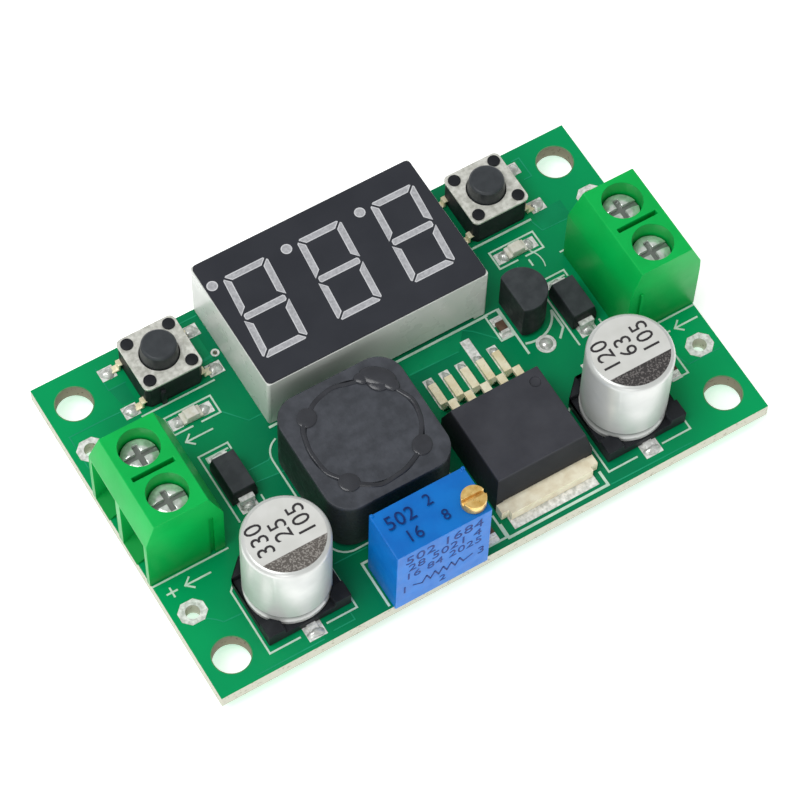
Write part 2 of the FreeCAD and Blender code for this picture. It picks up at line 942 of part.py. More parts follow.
def switch_legs():
    """Four bent legs, each moulded into the base at its root."""
    legs = []
    body = switch_base_size / 2
    bend = body + switch_leg_shoulder
    thick = switch_leg_thickness
    section = [
        (body - switch_leg_root, switch_leg_height),
        (bend, switch_leg_height),
        (bend, thick),
        (switch_leg_reach, thick),
        (switch_leg_reach, 0),
        (bend - thick, 0),
        (bend - thick, switch_leg_height - thick),
        (body - switch_leg_root, switch_leg_height - thick),
    ]
    for end in (-1, 1):
        middle = end * switch_leg_pitch / 2
        leg = side_prism(section, middle - switch_leg_width / 2, middle + switch_leg_width / 2)
        legs.append(leg)
        legs.append(leg.mirror(FreeCAD.Vector(0, 0, 0), FreeCAD.Vector(1, 0, 0)))
    return Part.makeCompound(legs)


def switch_corner_discs(diameter, z0, z1):
    spread = switch_post_spread / 2
    return [disc(a * spread, b * spread, diameter, z0, z1) for a in (-1, 1) for b in (-1, 1)]


def switch_base():
    size = switch_base_size
    base = centred_block(0, 0, size, size, 0, switch_base_height)
    base = base.makeChamfer(switch_base_chamfer, upright_corners(base))
    cover_top = switch_base_height + switch_cover_thickness
    peg_x = -switch_peg_offset
    peg_top = 0.7 * switch_base_height
    peg = centred_block(peg_x, -size / 2, switch_peg_width, 2 * switch_peg_depth, 0, peg_top)
    stems = switch_corner_discs(switch_post_stem, switch_stem_root, cover_top)
    heads = switch_corner_discs(switch_post_diameter, cover_top, cover_top + switch_post_rise)
    base = fused([base, peg] + stems + heads)
    well = disc(0, 0, switch_well_diameter, switch_well_floor, switch_base_height + cut_margin)
    return cut_all(base, [well, switch_legs()])


def switch_cover():
    low = switch_base_height
    high = low + switch_cover_thickness
    plate = centred_block(0, 0, switch_cover_size, switch_cover_size, low, high)
    plate = plate.makeFillet(switch_cover_corner, upright_corners(plate))
    opening = disc(0, 0, plunger_diameter + 2 * plunger_guide_gap, low - cut_margin, high + cut_margin)
    stems = switch_corner_discs(switch_post_stem, low - cut_margin, high + cut_margin)
    return cut_all(plate, [opening] + stems)


def button_foot():
    """Height of the button's boss, just above the crown of the snap dome."""
    return switch_well_floor + dome_rise + dome_gap


def switch_plunger():
    """Button with the flange that keeps it under the cover and the boss that snaps the dome."""
    half = plunger_diameter / 2
    half_top = plunger_top_diameter / 2
    shoulder = switch_base_height + switch_cover_thickness
    flange_base = button_foot() + button_travel
    flange_top = switch_base_height - dome_gap
    section = [
        (0, button_foot()),
        (plunger_boss_diameter / 2, button_foot()),
        (plunger_boss_diameter / 2, flange_base),
        (plunger_flange_diameter / 2, flange_base),
        (plunger_flange_diameter / 2, flange_top),
        (half, flange_top),
        (half, shoulder),
        (half_top, plunger_height - plunger_edge),
        (half_top - plunger_edge, plunger_height),
        (0, plunger_height),
    ]
    face = Part.Face(outline([(x, 0, z) for x, z in section]))
    return face.revolve(FreeCAD.Vector(0, 0, 0), FreeCAD.Vector(0, 0, 1), 360)


def switch_dome():
    """Thin snap disc, a shallow cap of a sphere standing on its rim in the well."""
    rise = dome_rise - dome_thickness
    radius = (dome_diameter ** 2 / 4 + rise ** 2) / (2 * rise)
    centre = FreeCAD.Vector(0, 0, switch_well_floor + rise - radius)
    outer = Part.makeSphere(radius + dome_thickness, centre)
    inner = Part.makeSphere(radius, centre)
    keep = disc(0, 0, dome_diameter, switch_well_floor, switch_well_floor + 2 * dome_rise)
    return outer.cut(inner).common(keep)


def save_switches():
    for name, x, degrees in (("left", -switch_x, 0.0), ("right", switch_x, 180.0)):
        pieces = {
            "base": switch_base(),
            "cover": switch_cover(),
            "button": switch_plunger(),
            "snap_dome": switch_dome(),
            "legs": switch_legs(),
        }
        for piece, shape in pieces.items():
            save(f"{name}_switch_{piece}", set_down(shape, x, switch_y, seat, degrees))


# Regulator

def regulator_lead(x, root):
    """One formed lead: out of the body, down to its pad and along it."""
    body = regulator_back_y
    thick = regulator_lead_thickness
    high = seat + regulator_lead_height
    tip = body + regulator_lead_span
    knee = tip - regulator_foot_length
    shoulder = body + regulator_lead_shoulder
    section = [
        (body - root, high + thick),
        (shoulder, high + thick),
        (knee + 0.5 * thick, seat + thick),
        (tip, seat + thick),
        (tip, seat),
        (knee - 0.5 * thick, seat),
        (shoulder - 0.5 * thick, high),
        (body - root, high),
    ]
    half = regulator_lead_width / 2
    return end_prism(section, x - half, x + half)


def regulator_leads():
    middle = regulator_lead_count // 2
    columns = regulator_columns()
    outer = columns[:middle] + columns[middle + 1:]
    return Part.makeCompound([regulator_lead(x, regulator_lead_root) for x in outer])


def regulator_heat_tab():
    """Heat spreader that the package stands on, joined to its middle lead inside the body."""
    body_front = regulator_back_y - regulator_length
    slug_back = body_front + slug_length
    neck = tab_neck_width / 2
    wide = regulator_width / 2
    ear = body_front - tab_ear_length
    front = body_front - tab_length
    plate = prism(
        [
            (regulator_x - neck, slug_back),
            (regulator_x - neck, body_front),
            (regulator_x - wide, body_front),
            (regulator_x - wide, ear),
            (regulator_x - neck, ear),
            (regulator_x - neck, front),
            (regulator_x + neck, front),
            (regulator_x + neck, ear),
            (regulator_x + wide, ear),
            (regulator_x + wide, body_front),
            (regulator_x + neck, body_front),
            (regulator_x + neck, slug_back),
        ],
        tab_thickness,
        seat,
    )
    root = regulator_length - slug_length + regulator_lead_width
    lead = regulator_lead(regulator_x, root)
    lead_top = seat + regulator_lead_height + regulator_lead_thickness
    half = regulator_lead_width / 2
    riser_front = slug_back - regulator_lead_width
    riser = block(regulator_x - half, regulator_x + half, riser_front, slug_back, seat, lead_top)
    return fused([plate, riser, lead])


def regulator_body():
    half = regulator_width / 2
    back = regulator_back_y
    front = back - regulator_length
    parting = seat + regulator_parting
    side = regulator_side_draft
    end = regulator_end_draft
    low = (regulator_x - half, regulator_x + half, front, back)
    high = (regulator_x - half + side, regulator_x + half - side, front + end, back - end)
    body = fused(
        [
            block(*low, seat, parting),
            tapered_block(low, high, parting, seat + regulator_height),
        ]
    )
    mark_x = high[1] - index_mark_inset_x
    mark_y = back - index_mark_inset_y
    top = seat + regulator_height
    mark = disc(mark_x, mark_y, index_mark_diameter, top - index_mark_depth, top + cut_margin)
    return cut_all(body, [mark, regulator_leads(), regulator_heat_tab()])


# Shielded inductor

def inductor_base():
    return seat + inductor_terminal_thickness


def inductor_resin_spots():
    """The four blobs of resin that glue the drum into its shield, on the diagonals."""
    reach = (inductor_bore_diameter + drum_flange_diameter) / 4 / math.sqrt(2)
    return [(inductor_x + a * reach, inductor_y + b * reach) for a in (-1, 1) for b in (-1, 1)]


def resin_column(x, y):
    top = seat + inductor_height
    return disc(x, y, resin_spot_diameter, top - resin_depth, top + resin_proud)


def inductor_shield():
    size = inductor_size
    top = seat + inductor_height
    shield = centred_block(inductor_x, inductor_y, size, size, inductor_base(), top)
    shield = shield.makeFillet(inductor_corner, upright_corners(shield))
    bore = disc(inductor_x, inductor_y, inductor_bore_diameter, seat, top + cut_margin)
    resin = [resin_column(x, y) for x, y in inductor_resin_spots()]
    return cut_all(shield, [bore] + resin)


def inductor_drum():
    low = inductor_base()
    high = seat + inductor_height
    thick = drum_flange_thickness
    drum = fused(
        [
            disc(inductor_x, inductor_y, drum_flange_diameter, low, low + thick),
            disc(inductor_x, inductor_y, drum_core_diameter, low, high),
            disc(inductor_x, inductor_y, drum_flange_diameter, high - thick, high),
        ]
    )
    return cut_all(drum, [resin_column(x, y) for x, y in inductor_resin_spots()])


def inductor_winding():
    low = inductor_base() + drum_flange_thickness
    high = seat + inductor_height - drum_flange_thickness
    coil = disc(inductor_x, inductor_y, winding_diameter, low, high)
    return coil.cut(disc(inductor_x, inductor_y, drum_core_diameter, low, high))


def inductor_resin():
    """Resin that fills the seam round the drum, sunk a little, with its four blobs."""
    top = seat + inductor_height
    low = top - resin_depth
    high = top - resin_proud / 2
    seam = disc(inductor_x, inductor_y, inductor_bore_diameter, low, high)
    seam = seam.cut(disc(inductor_x, inductor_y, drum_flange_diameter, low, high))
    return fused([seam] + [resin_column(x, y) for x, y in inductor_resin_spots()])


def inductor_terminals():
    plates = []
    for end in (-1, 1):
        y = inductor_y + end * (inductor_size - inductor_terminal_length) / 2
        plates.append(
            centred_block(
                inductor_x, y, inductor_terminal_width, inductor_terminal_length, seat, inductor_base()
            )
        )
    return Part.makeCompound(plates)


# Electrolytic capacitors, built about their own middle with the pads at z 0

def capacitor_places():
    return {
        "output_capacitor": (output_capacitor_x, output_capacitor_y),
        "input_capacitor": (input_capacitor_x, input_capacitor_y),
    }


def capacitor_can():
    """Aluminium can with its rolled crimp and rounded top edge, one revolved section."""
    half = can_diameter / 2
    waist = half - crimp_depth
    top = can_top - pad_thickness
    sag = can_edge * (1 - math.sqrt(0.5))
    start = FreeCAD.Vector(half, 0, top - can_edge)
    middle = FreeCAD.Vector(half - sag, 0, top - sag)
    finish = FreeCAD.Vector(half - can_edge, 0, top)
    points = [
        (half - can_edge, top),
        (0, top),
        (0, can_base),
        (half - can_foot_bevel, can_base),
        (half, can_base + can_foot_bevel),
        (half, crimp_height - crimp_half_width),
        (waist, crimp_height),
        (half, crimp_height + crimp_half_width),
        (half, top - can_edge),
    ]
    sides = Part.makePolygon([FreeCAD.Vector(x, 0, z) for x, z in points])
    edge = Part.Arc(start, middle, finish).toShape()
    wire = Part.Wire(Part.__sortEdges__(sides.Edges + [edge]))
    return Part.Face(wire).revolve(FreeCAD.Vector(0, 0, 0), FreeCAD.Vector(0, 0, 1), 360)


def capacitor_leads():
    """Two flat leads under the base, bent up into the can at their inner ends."""
    strips = []
    half = capacitor_lead_width / 2
    thick = capacitor_lead_thickness
    for end in (-1, 1):
        section = [
            (end * capacitor_lead_root, 0),
            (end * capacitor_lead_reach, 0),
            (end * capacitor_lead_reach, thick),
            (end * (capacitor_lead_root + thick), thick),
            (end * (capacitor_lead_root + thick), can_base),
            (end * capacitor_lead_root, can_base),
        ]
        strips.append(end_prism(section, -half, half))
    return Part.makeCompound(strips)


def capacitor_base():
    """Moulded base plate, two corners cut off on the positive side, and four low corner posts."""
    half = capacitor_base_size / 2
    corner = capacitor_base_chamfer
    ring = [
        (-half, -half),
        (half, -half),
        (half, half - corner),
        (half - corner, half),
        (-half + corner, half),
        (-half, half - corner),
    ]
    full_height = capacitor_base_height + capacitor_post_height
    plate = prism(ring, full_height, 0)
    cradle = disc(0, 0, can_diameter, can_base, full_height + cut_margin)
    span = capacitor_base_size + cut_margin
    notch = 0.62 * can_diameter
    over = full_height + cut_margin
    sides = [
        centred_block(0, 0, length, width, capacitor_base_height, over)
        for length, width in ((span, notch), (notch, span))
    ]
    return cut_all(plate, [cradle, capacitor_leads()] + sides)


def save_capacitors():
    for name, (x, y) in capacitor_places().items():
        pieces = {"can": capacitor_can(), "base": capacitor_base(), "leads": capacitor_leads()}
        for piece, shape in pieces.items():
            save(f"{name}_{piece}", set_down(shape, x, y, seat))


# Trimmer potentiometer

def adjuster_place():
    return trimmer_x + adjuster_offset_x, trimmer_y - adjuster_offset_y


def wiper_wheel_place():
    """Middle of the worm wheel, whose axis is along Y, as x, y and z."""
    x, y = adjuster_place()
    reach = adjuster_worm_diameter / 2 + wiper_gap + wiper_wheel_diameter / 2
    return x - reach, y, deck + trimmer_height / 2


def wheel_disc(diameter, y0, y1):
    x, _, z = wiper_wheel_place()
    return Part.makeCylinder(diameter / 2, y1 - y0, FreeCAD.Vector(x, y0, z), FreeCAD.Vector(0, 1, 0))


def trimmer_cavity():
    """Room for the worm wheel and the resistive element, open underneath."""
    x, y, z = wiper_wheel_place()
    half = wiper_wheel_diameter / 2 + wiper_side_gap
    front = y - wiper_wheel_thickness / 2 - wiper_side_gap
    brush_back = y + wiper_wheel_thickness / 2 + wiper_brush_size / 2
    back = brush_back + element_brush_gap + element_thickness
    return block(x - half, x + half - wiper_side_gap, front, back, deck - cut_margin, z + half)


def trimmer_base_plate():
    low = deck + trimmer_base_recess
    high = low + trimmer_base_thickness
    cavity = trimmer_cavity().BoundBox
    plate = block(cavity.XMin, cavity.XMax, cavity.YMin, cavity.YMax, low, high)
    return plate.cut(trimmer_pins())


def trimmer_pins():
    high = deck + trimmer_base_recess + trimmer_base_thickness
    width = trimmer_pin_width
    pins = [centred_block(x, y, width, width, -lead_stub, high) for x, y in trimmer_pin_places()]
    return Part.makeCompound(pins)


def trimmer_case():
    """Moulded case, with the small nib that its mould leaves at both back corners of the top."""
    top = deck + trimmer_height
    case = centred_block(trimmer_x, trimmer_y, trimmer_length, trimmer_width, deck, top)
    wide = trimmer_nib_width
    nib_y = trimmer_y + (trimmer_width - wide) / 2
    for side in (-1, 1):
        nib_x = trimmer_x + side * (trimmer_length - wide) / 2
        case = fused([case, centred_block(nib_x, nib_y, wide, wide, deck, top + trimmer_nib_height)])
    x, y = adjuster_place()
    bore = adjuster_worm_diameter + 2 * adjuster_running_gap
    bore_foot = deck + adjuster_worm_base - 2 * adjuster_running_gap
    drill = disc(x, y, bore, bore_foot, top + cut_margin)
    return cut_all(case, [trimmer_cavity(), drill, trimmer_pins()])


def adjuster_screw():
    """Slotted brass screw whose shank is the worm."""
    x, y = adjuster_place()
    top = deck + trimmer_height
    head_foot = top + adjuster_running_gap
    shank = disc(x, y, adjuster_worm_diameter, deck + adjuster_worm_base, head_foot)
    head = disc(x, y, adjuster_head_diameter, head_foot, top + adjuster_head_height)
    slot = centred_block(
        x,
        y,
        2 * adjuster_head_diameter,
        adjuster_slot_width,
        top + adjuster_head_height - adjuster_slot_depth,
        top + adjuster_head_height + cut_margin,
    )
    return fused([shank, head]).cut(slot)


def wiper_wheel():
    """Worm wheel that carries the wiper brush over the resistive element behind it."""
    x, y, z = wiper_wheel_place()
    back = y + wiper_wheel_thickness / 2
    wheel = wheel_disc(wiper_wheel_diameter, y - wiper_wheel_thickness / 2, back)
    brush_z = z + wiper_wheel_diameter / 4
    half = wiper_brush_size / 2
    brush = block(x - half, x + half, back, back + half, brush_z - half, brush_z + half)
    return fused([wheel, brush])


def resistive_element():
    """Ceramic plate at the back of the trimmer's cavity."""
    cavity = trimmer_cavity().BoundBox
    low = deck + trimmer_base_recess + trimmer_base_thickness
    front = cavity.YMax - element_thickness
    return block(cavity.XMin, cavity.XMax, front, cavity.YMax, low, cavity.ZMax)


# Transistor-shaped regulator, diodes, lamps and chip parts

def transistor_body():
    low = deck + transistor_standoff
    high = low + transistor_height
    body = disc(transistor_x, transistor_y, 2 * transistor_radius, low, high)
    flat = block(
        transistor_x - 2 * transistor_radius,
        transistor_x - transistor_flat,
        transistor_y - 2 * transistor_radius,
        transistor_y + 2 * transistor_radius,
        low - cut_margin,
        high + cut_margin,
    )
    return body.cut(flat)


def transistor_leads():
    width = transistor_lead_width
    high = deck + transistor_standoff
    return Part.makeCompound(
        [centred_block(x, y, width, width, -lead_stub, high) for x, y in transistor_lead_places()]
    )


def diode_leads(x):
    """Two flat tabs that leave the ends of the body and fold under it."""
    tabs = []
    half = diode_tab_width / 2
    thick = diode_tab_thickness
    for end in (-1, 1):
        edge = diode_y + end * diode_body_length / 2
        outer = edge + end * diode_tab_reach
        section = [
            (edge - end * diode_tab_foot, seat),
            (outer, seat),
            (outer, seat + diode_tab_height),
            (edge - end * diode_tab_foot / 2, seat + diode_tab_height),
            (edge - end * diode_tab_foot / 2, seat + diode_tab_height - thick),
            (outer - end * thick, seat + diode_tab_height - thick),
            (outer - end * thick, seat + thick),
            (edge - end * diode_tab_foot, seat + thick),
        ]
        tabs.append(end_prism(section, x - half, x + half))
    return Part.makeCompound(tabs)


def diode_body(x):
    half_w = diode_body_width / 2
    half_l = diode_body_length / 2
    top_w = diode_top_width / 2
    top_l = diode_top_length / 2
    low = (x - half_w, x + half_w, diode_y - half_l, diode_y + half_l)
    high = (x - top_w, x + top_w, diode_y - top_l, diode_y + top_l)
    middle = seat + diode_height / 2
    body = fused(
        [
            block(*low, seat + diode_standoff, middle),
            tapered_block(low, high, middle, seat + diode_height),
        ]
    )
    return body.cut(diode_leads(x))


def indicator_lamp(x):
    """Small carrier with plated ends and a moulded clear lens, sealed together."""
    top = seat + lamp_carrier_height
    carrier = centred_block(x, lamp_y, lamp_length, lamp_width, seat, top)
    half_l = lamp_lens_length / 2
    half_w = lamp_width / 2
    draft = lamp_lens_draft
    low = (x - half_l, x + half_l, lamp_y - half_w, lamp_y + half_w)
    high = (x - half_l + draft, x + half_l - draft, lamp_y - half_w + draft, lamp_y + half_w - draft)
    return fused([carrier, tapered_block(low, high, top, top + lamp_lens_height)])


def top_chip_places():
    """Beside the transistor, between trimmer and regulator, and by the input capacitor."""
    by_transistor = transistor_x - transistor_flat - chip_transistor_gap - chip_width / 2
    by_trimmer = trimmer_x + trimmer_length / 2 + chip_trimmer_gap + chip_width / 2
    by_capacitor = input_capacitor_x + capacitor_half + chip_capacitor_gap + chip_width / 2
    return [
        (by_transistor, transistor_y - chip_transistor_shift),
        (by_trimmer, trimmer_y - chip_trimmer_shift),
        (by_capacitor, input_capacitor_y + chip_capacitor_shift),
    ]


def bottom_chip_places():
    """Both sides of the controller, in line with it."""
    inner = controller_length / 2 + controller_chip_gap + chip_width / 2
    outer = inner + 2 * chip_width
    far = outer + far_chip_pitch
    return [(controller_x + x, controller_y) for x in (-far, -outer, -inner, inner, outer, far)]


def chip_frames():
    """Each chip part's x, y and the height of its underside, its length along Y."""
    frames = [(x, y, seat) for x, y in top_chip_places()]
    frames += [(x, y, under_seat - chip_height) for x, y in bottom_chip_places()]
    return frames


def chip_bodies():
    length = chip_length - 2 * chip_cap_length
    return Part.makeCompound(
        [centred_block(x, y, chip_width, length, z, z + chip_height) for x, y, z in chip_frames()]
    )


def chip_end_caps():
    caps = []
    for x, y, z in chip_frames():
        for end in (-1, 1):
            middle = y + end * (chip_length - chip_cap_length) / 2
            caps.append(centred_block(x, middle, chip_width, chip_cap_length, z, z + chip_height))
    return Part.makeCompound(caps)


def controller_lead_columns():
    first = controller_x - (controller_leads_per_side - 1) / 2 * controller_lead_pitch
    return [first + i * controller_lead_pitch for i in range(controller_leads_per_side)]


def controller_body():
    """Flat moulded package under the board, its wider parting line half way up."""
    half_l = controller_length / 2
    half_w = controller_width / 2
    draft = controller_draft
    high = under_seat - controller_standoff
    low = high - controller_height
    middle = (low + high) / 2
    x, y = controller_x, controller_y
    wide = (x - half_l, x + half_l, y - half_w, y + half_w)
    narrow = (x - half_l + draft, x + half_l - draft, y - half_w + draft, y + half_w - draft)
    body = fused([tapered_block(narrow, wide, low, middle), tapered_block(wide, narrow, middle, high)])
    return body.cut(controller_leads())


def controller_leads():
    leads = []
    thick = controller_lead_thickness
    middle = under_seat - controller_standoff - controller_height / 2
    for side in (-1, 1):
        edge = controller_y + side * controller_width / 2
        knee = edge + side * 0.4 * controller_lead_reach
        tip = edge + side * controller_lead_reach
        section = [
            (edge - side * controller_lead_root, middle - thick / 2),
            (knee, middle - thick / 2),
            (knee, under_seat - thick),
            (tip, under_seat - thick),
            (tip, under_seat),
            (knee - side * thick, under_seat),
            (knee - side * thick, middle + thick / 2),
            (edge - side * controller_lead_root, middle + thick / 2),
        ]
        for x in controller_lead_columns():
            half = controller_lead_width / 2
            leads.append(end_prism(section, x - half, x + half))
    return Part.makeCompound(leads)


def save(name, shape):
    shape.exportStep(f"parts/{name}.step")


os.makedirs("parts", exist_ok=True)
save("circuit_board", circuit_board())
save("tinned_pads", tinned_pads())
save("solder_joints", solder_joints())
save_terminals()
save("display_housing", display_housing())
save("display_face", display_face())
save("display_light_guides", display_light_guides())
save("display_lamp_board", display_lamp_board())
save("display_pins", display_pins())
save_switches()
save("regulator_body", regulator_body())
save("regulator_heat_tab", regulator_heat_tab())
save("regulator_leads", regulator_leads())
save("inductor_shield", inductor_shield())
save("inductor_drum", inductor_drum())
save("inductor_winding", inductor_winding())
save("inductor_resin", inductor_resin())
save("inductor_terminals", inductor_terminals())
save_capacitors()
save("trimmer_case", trimmer_case())
save("trimmer_adjuster_screw", adjuster_screw())
save("trimmer_wiper_wheel", wiper_wheel())
save("trimmer_resistive_element", resistive_element())
save("trimmer_base_plate", trimmer_base_plate())
save("trimmer_pins", trimmer_pins())
save("transistor_body", transistor_body())
save("transistor_leads", transistor_leads())
save("diode_bodies", Part.makeCompound([diode_body(x) for x in (output_diode_x, input_diode_x)]))
save("diode_leads", Part.makeCompound([diode_leads(x) for x in (output_diode_x, input_diode_x)]))
save("indicator_lamps", Part.makeCompound([indicator_lamp(x) for x in (output_lamp_x, input_lamp_x)]))
save("chip_bodies", chip_bodies())
save("chip_end_caps", chip_end_caps())
save("controller_body", controller_body())
save("controller_leads", controller_leads())
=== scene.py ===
import json
import math

import bmesh
import bpy
from mathutils import Euler, Matrix, Vector

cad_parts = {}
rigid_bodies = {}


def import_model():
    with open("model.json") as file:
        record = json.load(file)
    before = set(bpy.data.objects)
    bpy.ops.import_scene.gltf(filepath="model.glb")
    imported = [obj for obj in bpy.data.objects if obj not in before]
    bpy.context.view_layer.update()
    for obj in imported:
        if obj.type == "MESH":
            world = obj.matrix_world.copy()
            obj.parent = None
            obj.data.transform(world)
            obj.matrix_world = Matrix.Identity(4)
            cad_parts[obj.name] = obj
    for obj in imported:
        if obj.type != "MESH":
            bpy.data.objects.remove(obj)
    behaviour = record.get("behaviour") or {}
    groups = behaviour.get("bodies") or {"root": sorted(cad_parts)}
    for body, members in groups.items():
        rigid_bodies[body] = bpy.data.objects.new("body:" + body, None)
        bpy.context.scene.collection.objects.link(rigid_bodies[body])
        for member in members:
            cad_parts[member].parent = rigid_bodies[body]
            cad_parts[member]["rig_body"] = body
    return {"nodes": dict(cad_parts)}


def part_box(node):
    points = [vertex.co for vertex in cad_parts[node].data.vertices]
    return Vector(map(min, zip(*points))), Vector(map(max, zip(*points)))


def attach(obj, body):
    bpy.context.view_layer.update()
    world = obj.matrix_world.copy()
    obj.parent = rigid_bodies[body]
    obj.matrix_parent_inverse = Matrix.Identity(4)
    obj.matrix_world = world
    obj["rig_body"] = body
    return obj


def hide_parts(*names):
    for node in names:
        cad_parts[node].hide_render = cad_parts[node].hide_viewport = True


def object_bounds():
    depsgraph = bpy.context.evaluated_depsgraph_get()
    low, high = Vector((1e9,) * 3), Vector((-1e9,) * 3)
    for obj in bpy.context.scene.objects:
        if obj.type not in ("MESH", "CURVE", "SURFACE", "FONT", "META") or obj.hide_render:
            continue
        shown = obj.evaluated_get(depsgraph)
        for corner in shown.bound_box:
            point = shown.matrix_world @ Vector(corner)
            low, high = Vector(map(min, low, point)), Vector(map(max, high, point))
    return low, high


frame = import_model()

cad_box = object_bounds()
MM = 0.001

# The bare circuit board: glass fibre laminate, punched from a panel, with a glossy green solder
# mask over its copper. Its cut edge is pale, and the walls of the four corner holes are brownish
# grey.


def shade(red, green, blue):
    """Colour as seen on a screen, turned into the linear colour that a shader takes."""
    levels = [level / 255 for level in (red, green, blue)]
    linear = [((v + 0.055) / 1.055) ** 2.4 if v > 0.04 else v / 12.92 for v in levels]
    return (*linear, 1.0)


def new_finish(name):
    """Empty material with its shader, and a source of places measured on the piece itself."""
    finish = bpy.data.materials.new(name)
    finish.use_nodes = True
    tree = finish.node_tree
    place = tree.nodes.new("ShaderNodeTexCoord").outputs["Object"]
    return finish, tree, tree.nodes["Principled BSDF"], place


def feed(tree, value, socket):
    """Links another node's output to a socket, or sets the socket to a number or colour."""
    if isinstance(value, bpy.types.NodeSocket):
        tree.links.new(value, socket)
    else:
        socket.default_value = value


def split_place(tree, place):
    """The three coordinates of a place, in metres."""
    split = tree.nodes.new("ShaderNodeSeparateXYZ")
    tree.links.new(place, split.inputs[0])
    return split.outputs


def add_noise(tree, place, size, detail=3.0):
    """Noise whose patches are about size millimetres across."""
    noise = tree.nodes.new("ShaderNodeTexNoise")
    noise.inputs["Scale"].default_value = 1 / (size * MM)
    noise.inputs["Detail"].default_value = detail
    tree.links.new(place, noise.inputs["Vector"])
    return noise.outputs["Fac"]


def add_range(tree, value, low, high, new_low=0.0, new_high=1.0):
    """Stretches what lies between low and high to lie between new_low and new_high."""
    ranger = tree.nodes.new("ShaderNodeMapRange")
    numbers = {"From Min": low, "From Max": high, "To Min": new_low, "To Max": new_high}
    for socket, number in numbers.items():
        ranger.inputs[socket].default_value = number
    tree.links.new(value, ranger.inputs["Value"])
    return ranger.outputs["Result"]


def add_patches(tree, place, size, detail=3.0, most=1.0):
    """Soft patches about size millimetres across, from 0 up to most."""
    return add_range(tree, add_noise(tree, place, size, detail), 0.35, 0.65, new_high=most)


def add_mix(tree, share, first, second):
    """Mix of two colours, each a colour or another node's output."""
    mix = tree.nodes.new("ShaderNodeMix")
    mix.data_type = "RGBA"
    tree.links.new(share, mix.inputs["Factor"])
    # The sockets for colours come after those for numbers and vectors.
    feed(tree, first, mix.inputs[6])
    feed(tree, second, mix.inputs[7])
    return mix.outputs[2]


def add_bump(tree, surface, height, depth):
    """Relief up to depth millimetres deep."""
    bump = tree.nodes.new("ShaderNodeBump")
    bump.inputs["Distance"].default_value = depth * MM
    tree.links.new(height, bump.inputs["Height"])
    tree.links.new(bump.outputs["Normal"], surface.inputs["Normal"])


def add_math(tree, operation, first, second=0.0):
    """Arithmetic on outputs or plain numbers."""
    node = tree.nodes.new("ShaderNodeMath")
    node.operation = operation
    feed(tree, first, node.inputs[0])
    feed(tree, second, node.inputs[1])
    return node.outputs[0]


def show(name, mesh, finish):
    """Puts a mesh with its finish into the scene."""
    mesh.materials.append(finish)
    shown = bpy.data.objects.new(name, mesh)
    bpy.context.scene.collection.objects.link(shown)
    return shown


def add_piece(name, shell, finish, body="module", smooth_angle=35):
    """Makes a finished piece of a bmesh and lets it ride on a body of the frame."""
    sharp = math.radians(smooth_angle)
    for face in shell.faces:
        face.smooth = True
    for edge in shell.edges:
        edge.smooth = len(edge.link_faces) != 2 or edge.calc_face_angle(0) < sharp
    mesh = bpy.data.meshes.new(name)
    shell.to_mesh(mesh)
    shell.free()
    piece = show(name, mesh, finish)
    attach(piece, body)
    return piece


def dress(node, finish, edge=0.0, smooth_angle=35, lowest=-1.0):
    """Stands a copy of a CAD node in its place, with its triangles joined.

    Edges that lie above lowest are eased by edge, in millimetres. An eased edge may overshoot
    where walls meet, so no corner leaves the node's own box.
    """
    source = frame["nodes"][node]
    same_place, flat, corner = 1e-6, math.radians(0.5), math.radians(40)
    shell = bmesh.new()
    shell.from_mesh(source.data)
    bmesh.ops.remove_doubles(shell, verts=shell.verts, dist=same_place)
    bmesh.ops.dissolve_limit(
        shell,
        angle_limit=flat,
        use_dissolve_boundaries=False,
        verts=shell.verts,
        edges=shell.edges,
    )
    if edge:
        edges = [e for e in shell.edges if min(vert.co.z for vert in e.verts) > lowest]
        bmesh.ops.bevel(
            shell,
            geom=[e for e in edges if len(e.link_faces) == 2 and e.calc_face_angle(0) > corner],
            offset=edge * MM,
            affect="EDGES",
            segments=2,
            profile=0.5,
            material=-1,
            clamp_overlap=False,
        )
        low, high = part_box(node)
        for vert in shell.verts:
            vert.co = [min(max(v, least), most) for v, least, most in zip(vert.co, low, high)]
    piece = add_piece(f"{node}_finished", shell, finish, source["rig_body"], smooth_angle)
    if edge:
        weighting = piece.modifiers.new("even_faces", "WEIGHTED_NORMAL")
        weighting.keep_sharp = True
    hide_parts(node)
    return piece


board_low, board_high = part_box("circuit_board")
hole_x, hole_y, hole_radius = 25.7, 14.4, 1.75
mask_finish, tree, surface, place = new_finish("green_solder_mask")
along, across, up = split_place(tree, place)
from_middle_x = add_math(tree, "ABSOLUTE", along)
from_middle_y = add_math(tree, "ABSOLUTE", across)

cloud = add_patches(tree, place, 9.0, detail=2.0, most=0.25)
# Painted light and shade: the mask is painted lighter towards the board's ends and darker in the
# middle.
painted_light_at_ends = add_range(tree, from_middle_x, 12 * MM, 27 * MM, new_high=0.75)
patches_and_painted_light = add_math(tree, "ADD", cloud, painted_light_at_ends)
green = add_mix(tree, patches_and_painted_light, shade(0, 120, 80), shade(0, 166, 96))

fibre = add_range(tree, add_noise(tree, place, 0.35, detail=2.0), 0.62, 0.68)
cut_edge = add_mix(tree, fibre, shade(206, 206, 190), shade(172, 170, 150))
hole_wall = add_mix(tree, fibre, shade(150, 142, 124), shade(110, 100, 84))
from_hole_x = add_math(tree, "SUBTRACT", from_middle_x, hole_x * MM)
from_hole_y = add_math(tree, "SUBTRACT", from_middle_y, hole_y * MM)
square_x = add_math(tree, "MULTIPLY", from_hole_x, from_hole_x)
square_y = add_math(tree, "MULTIPLY", from_hole_y, from_hole_y)
from_hole = add_math(tree, "SQRT", add_math(tree, "ADD", square_x, square_y))
in_hole = add_math(tree, "LESS_THAN", from_hole, (hole_radius + 0.05) * MM)
sides = add_mix(tree, in_hole, cut_edge, hole_wall)

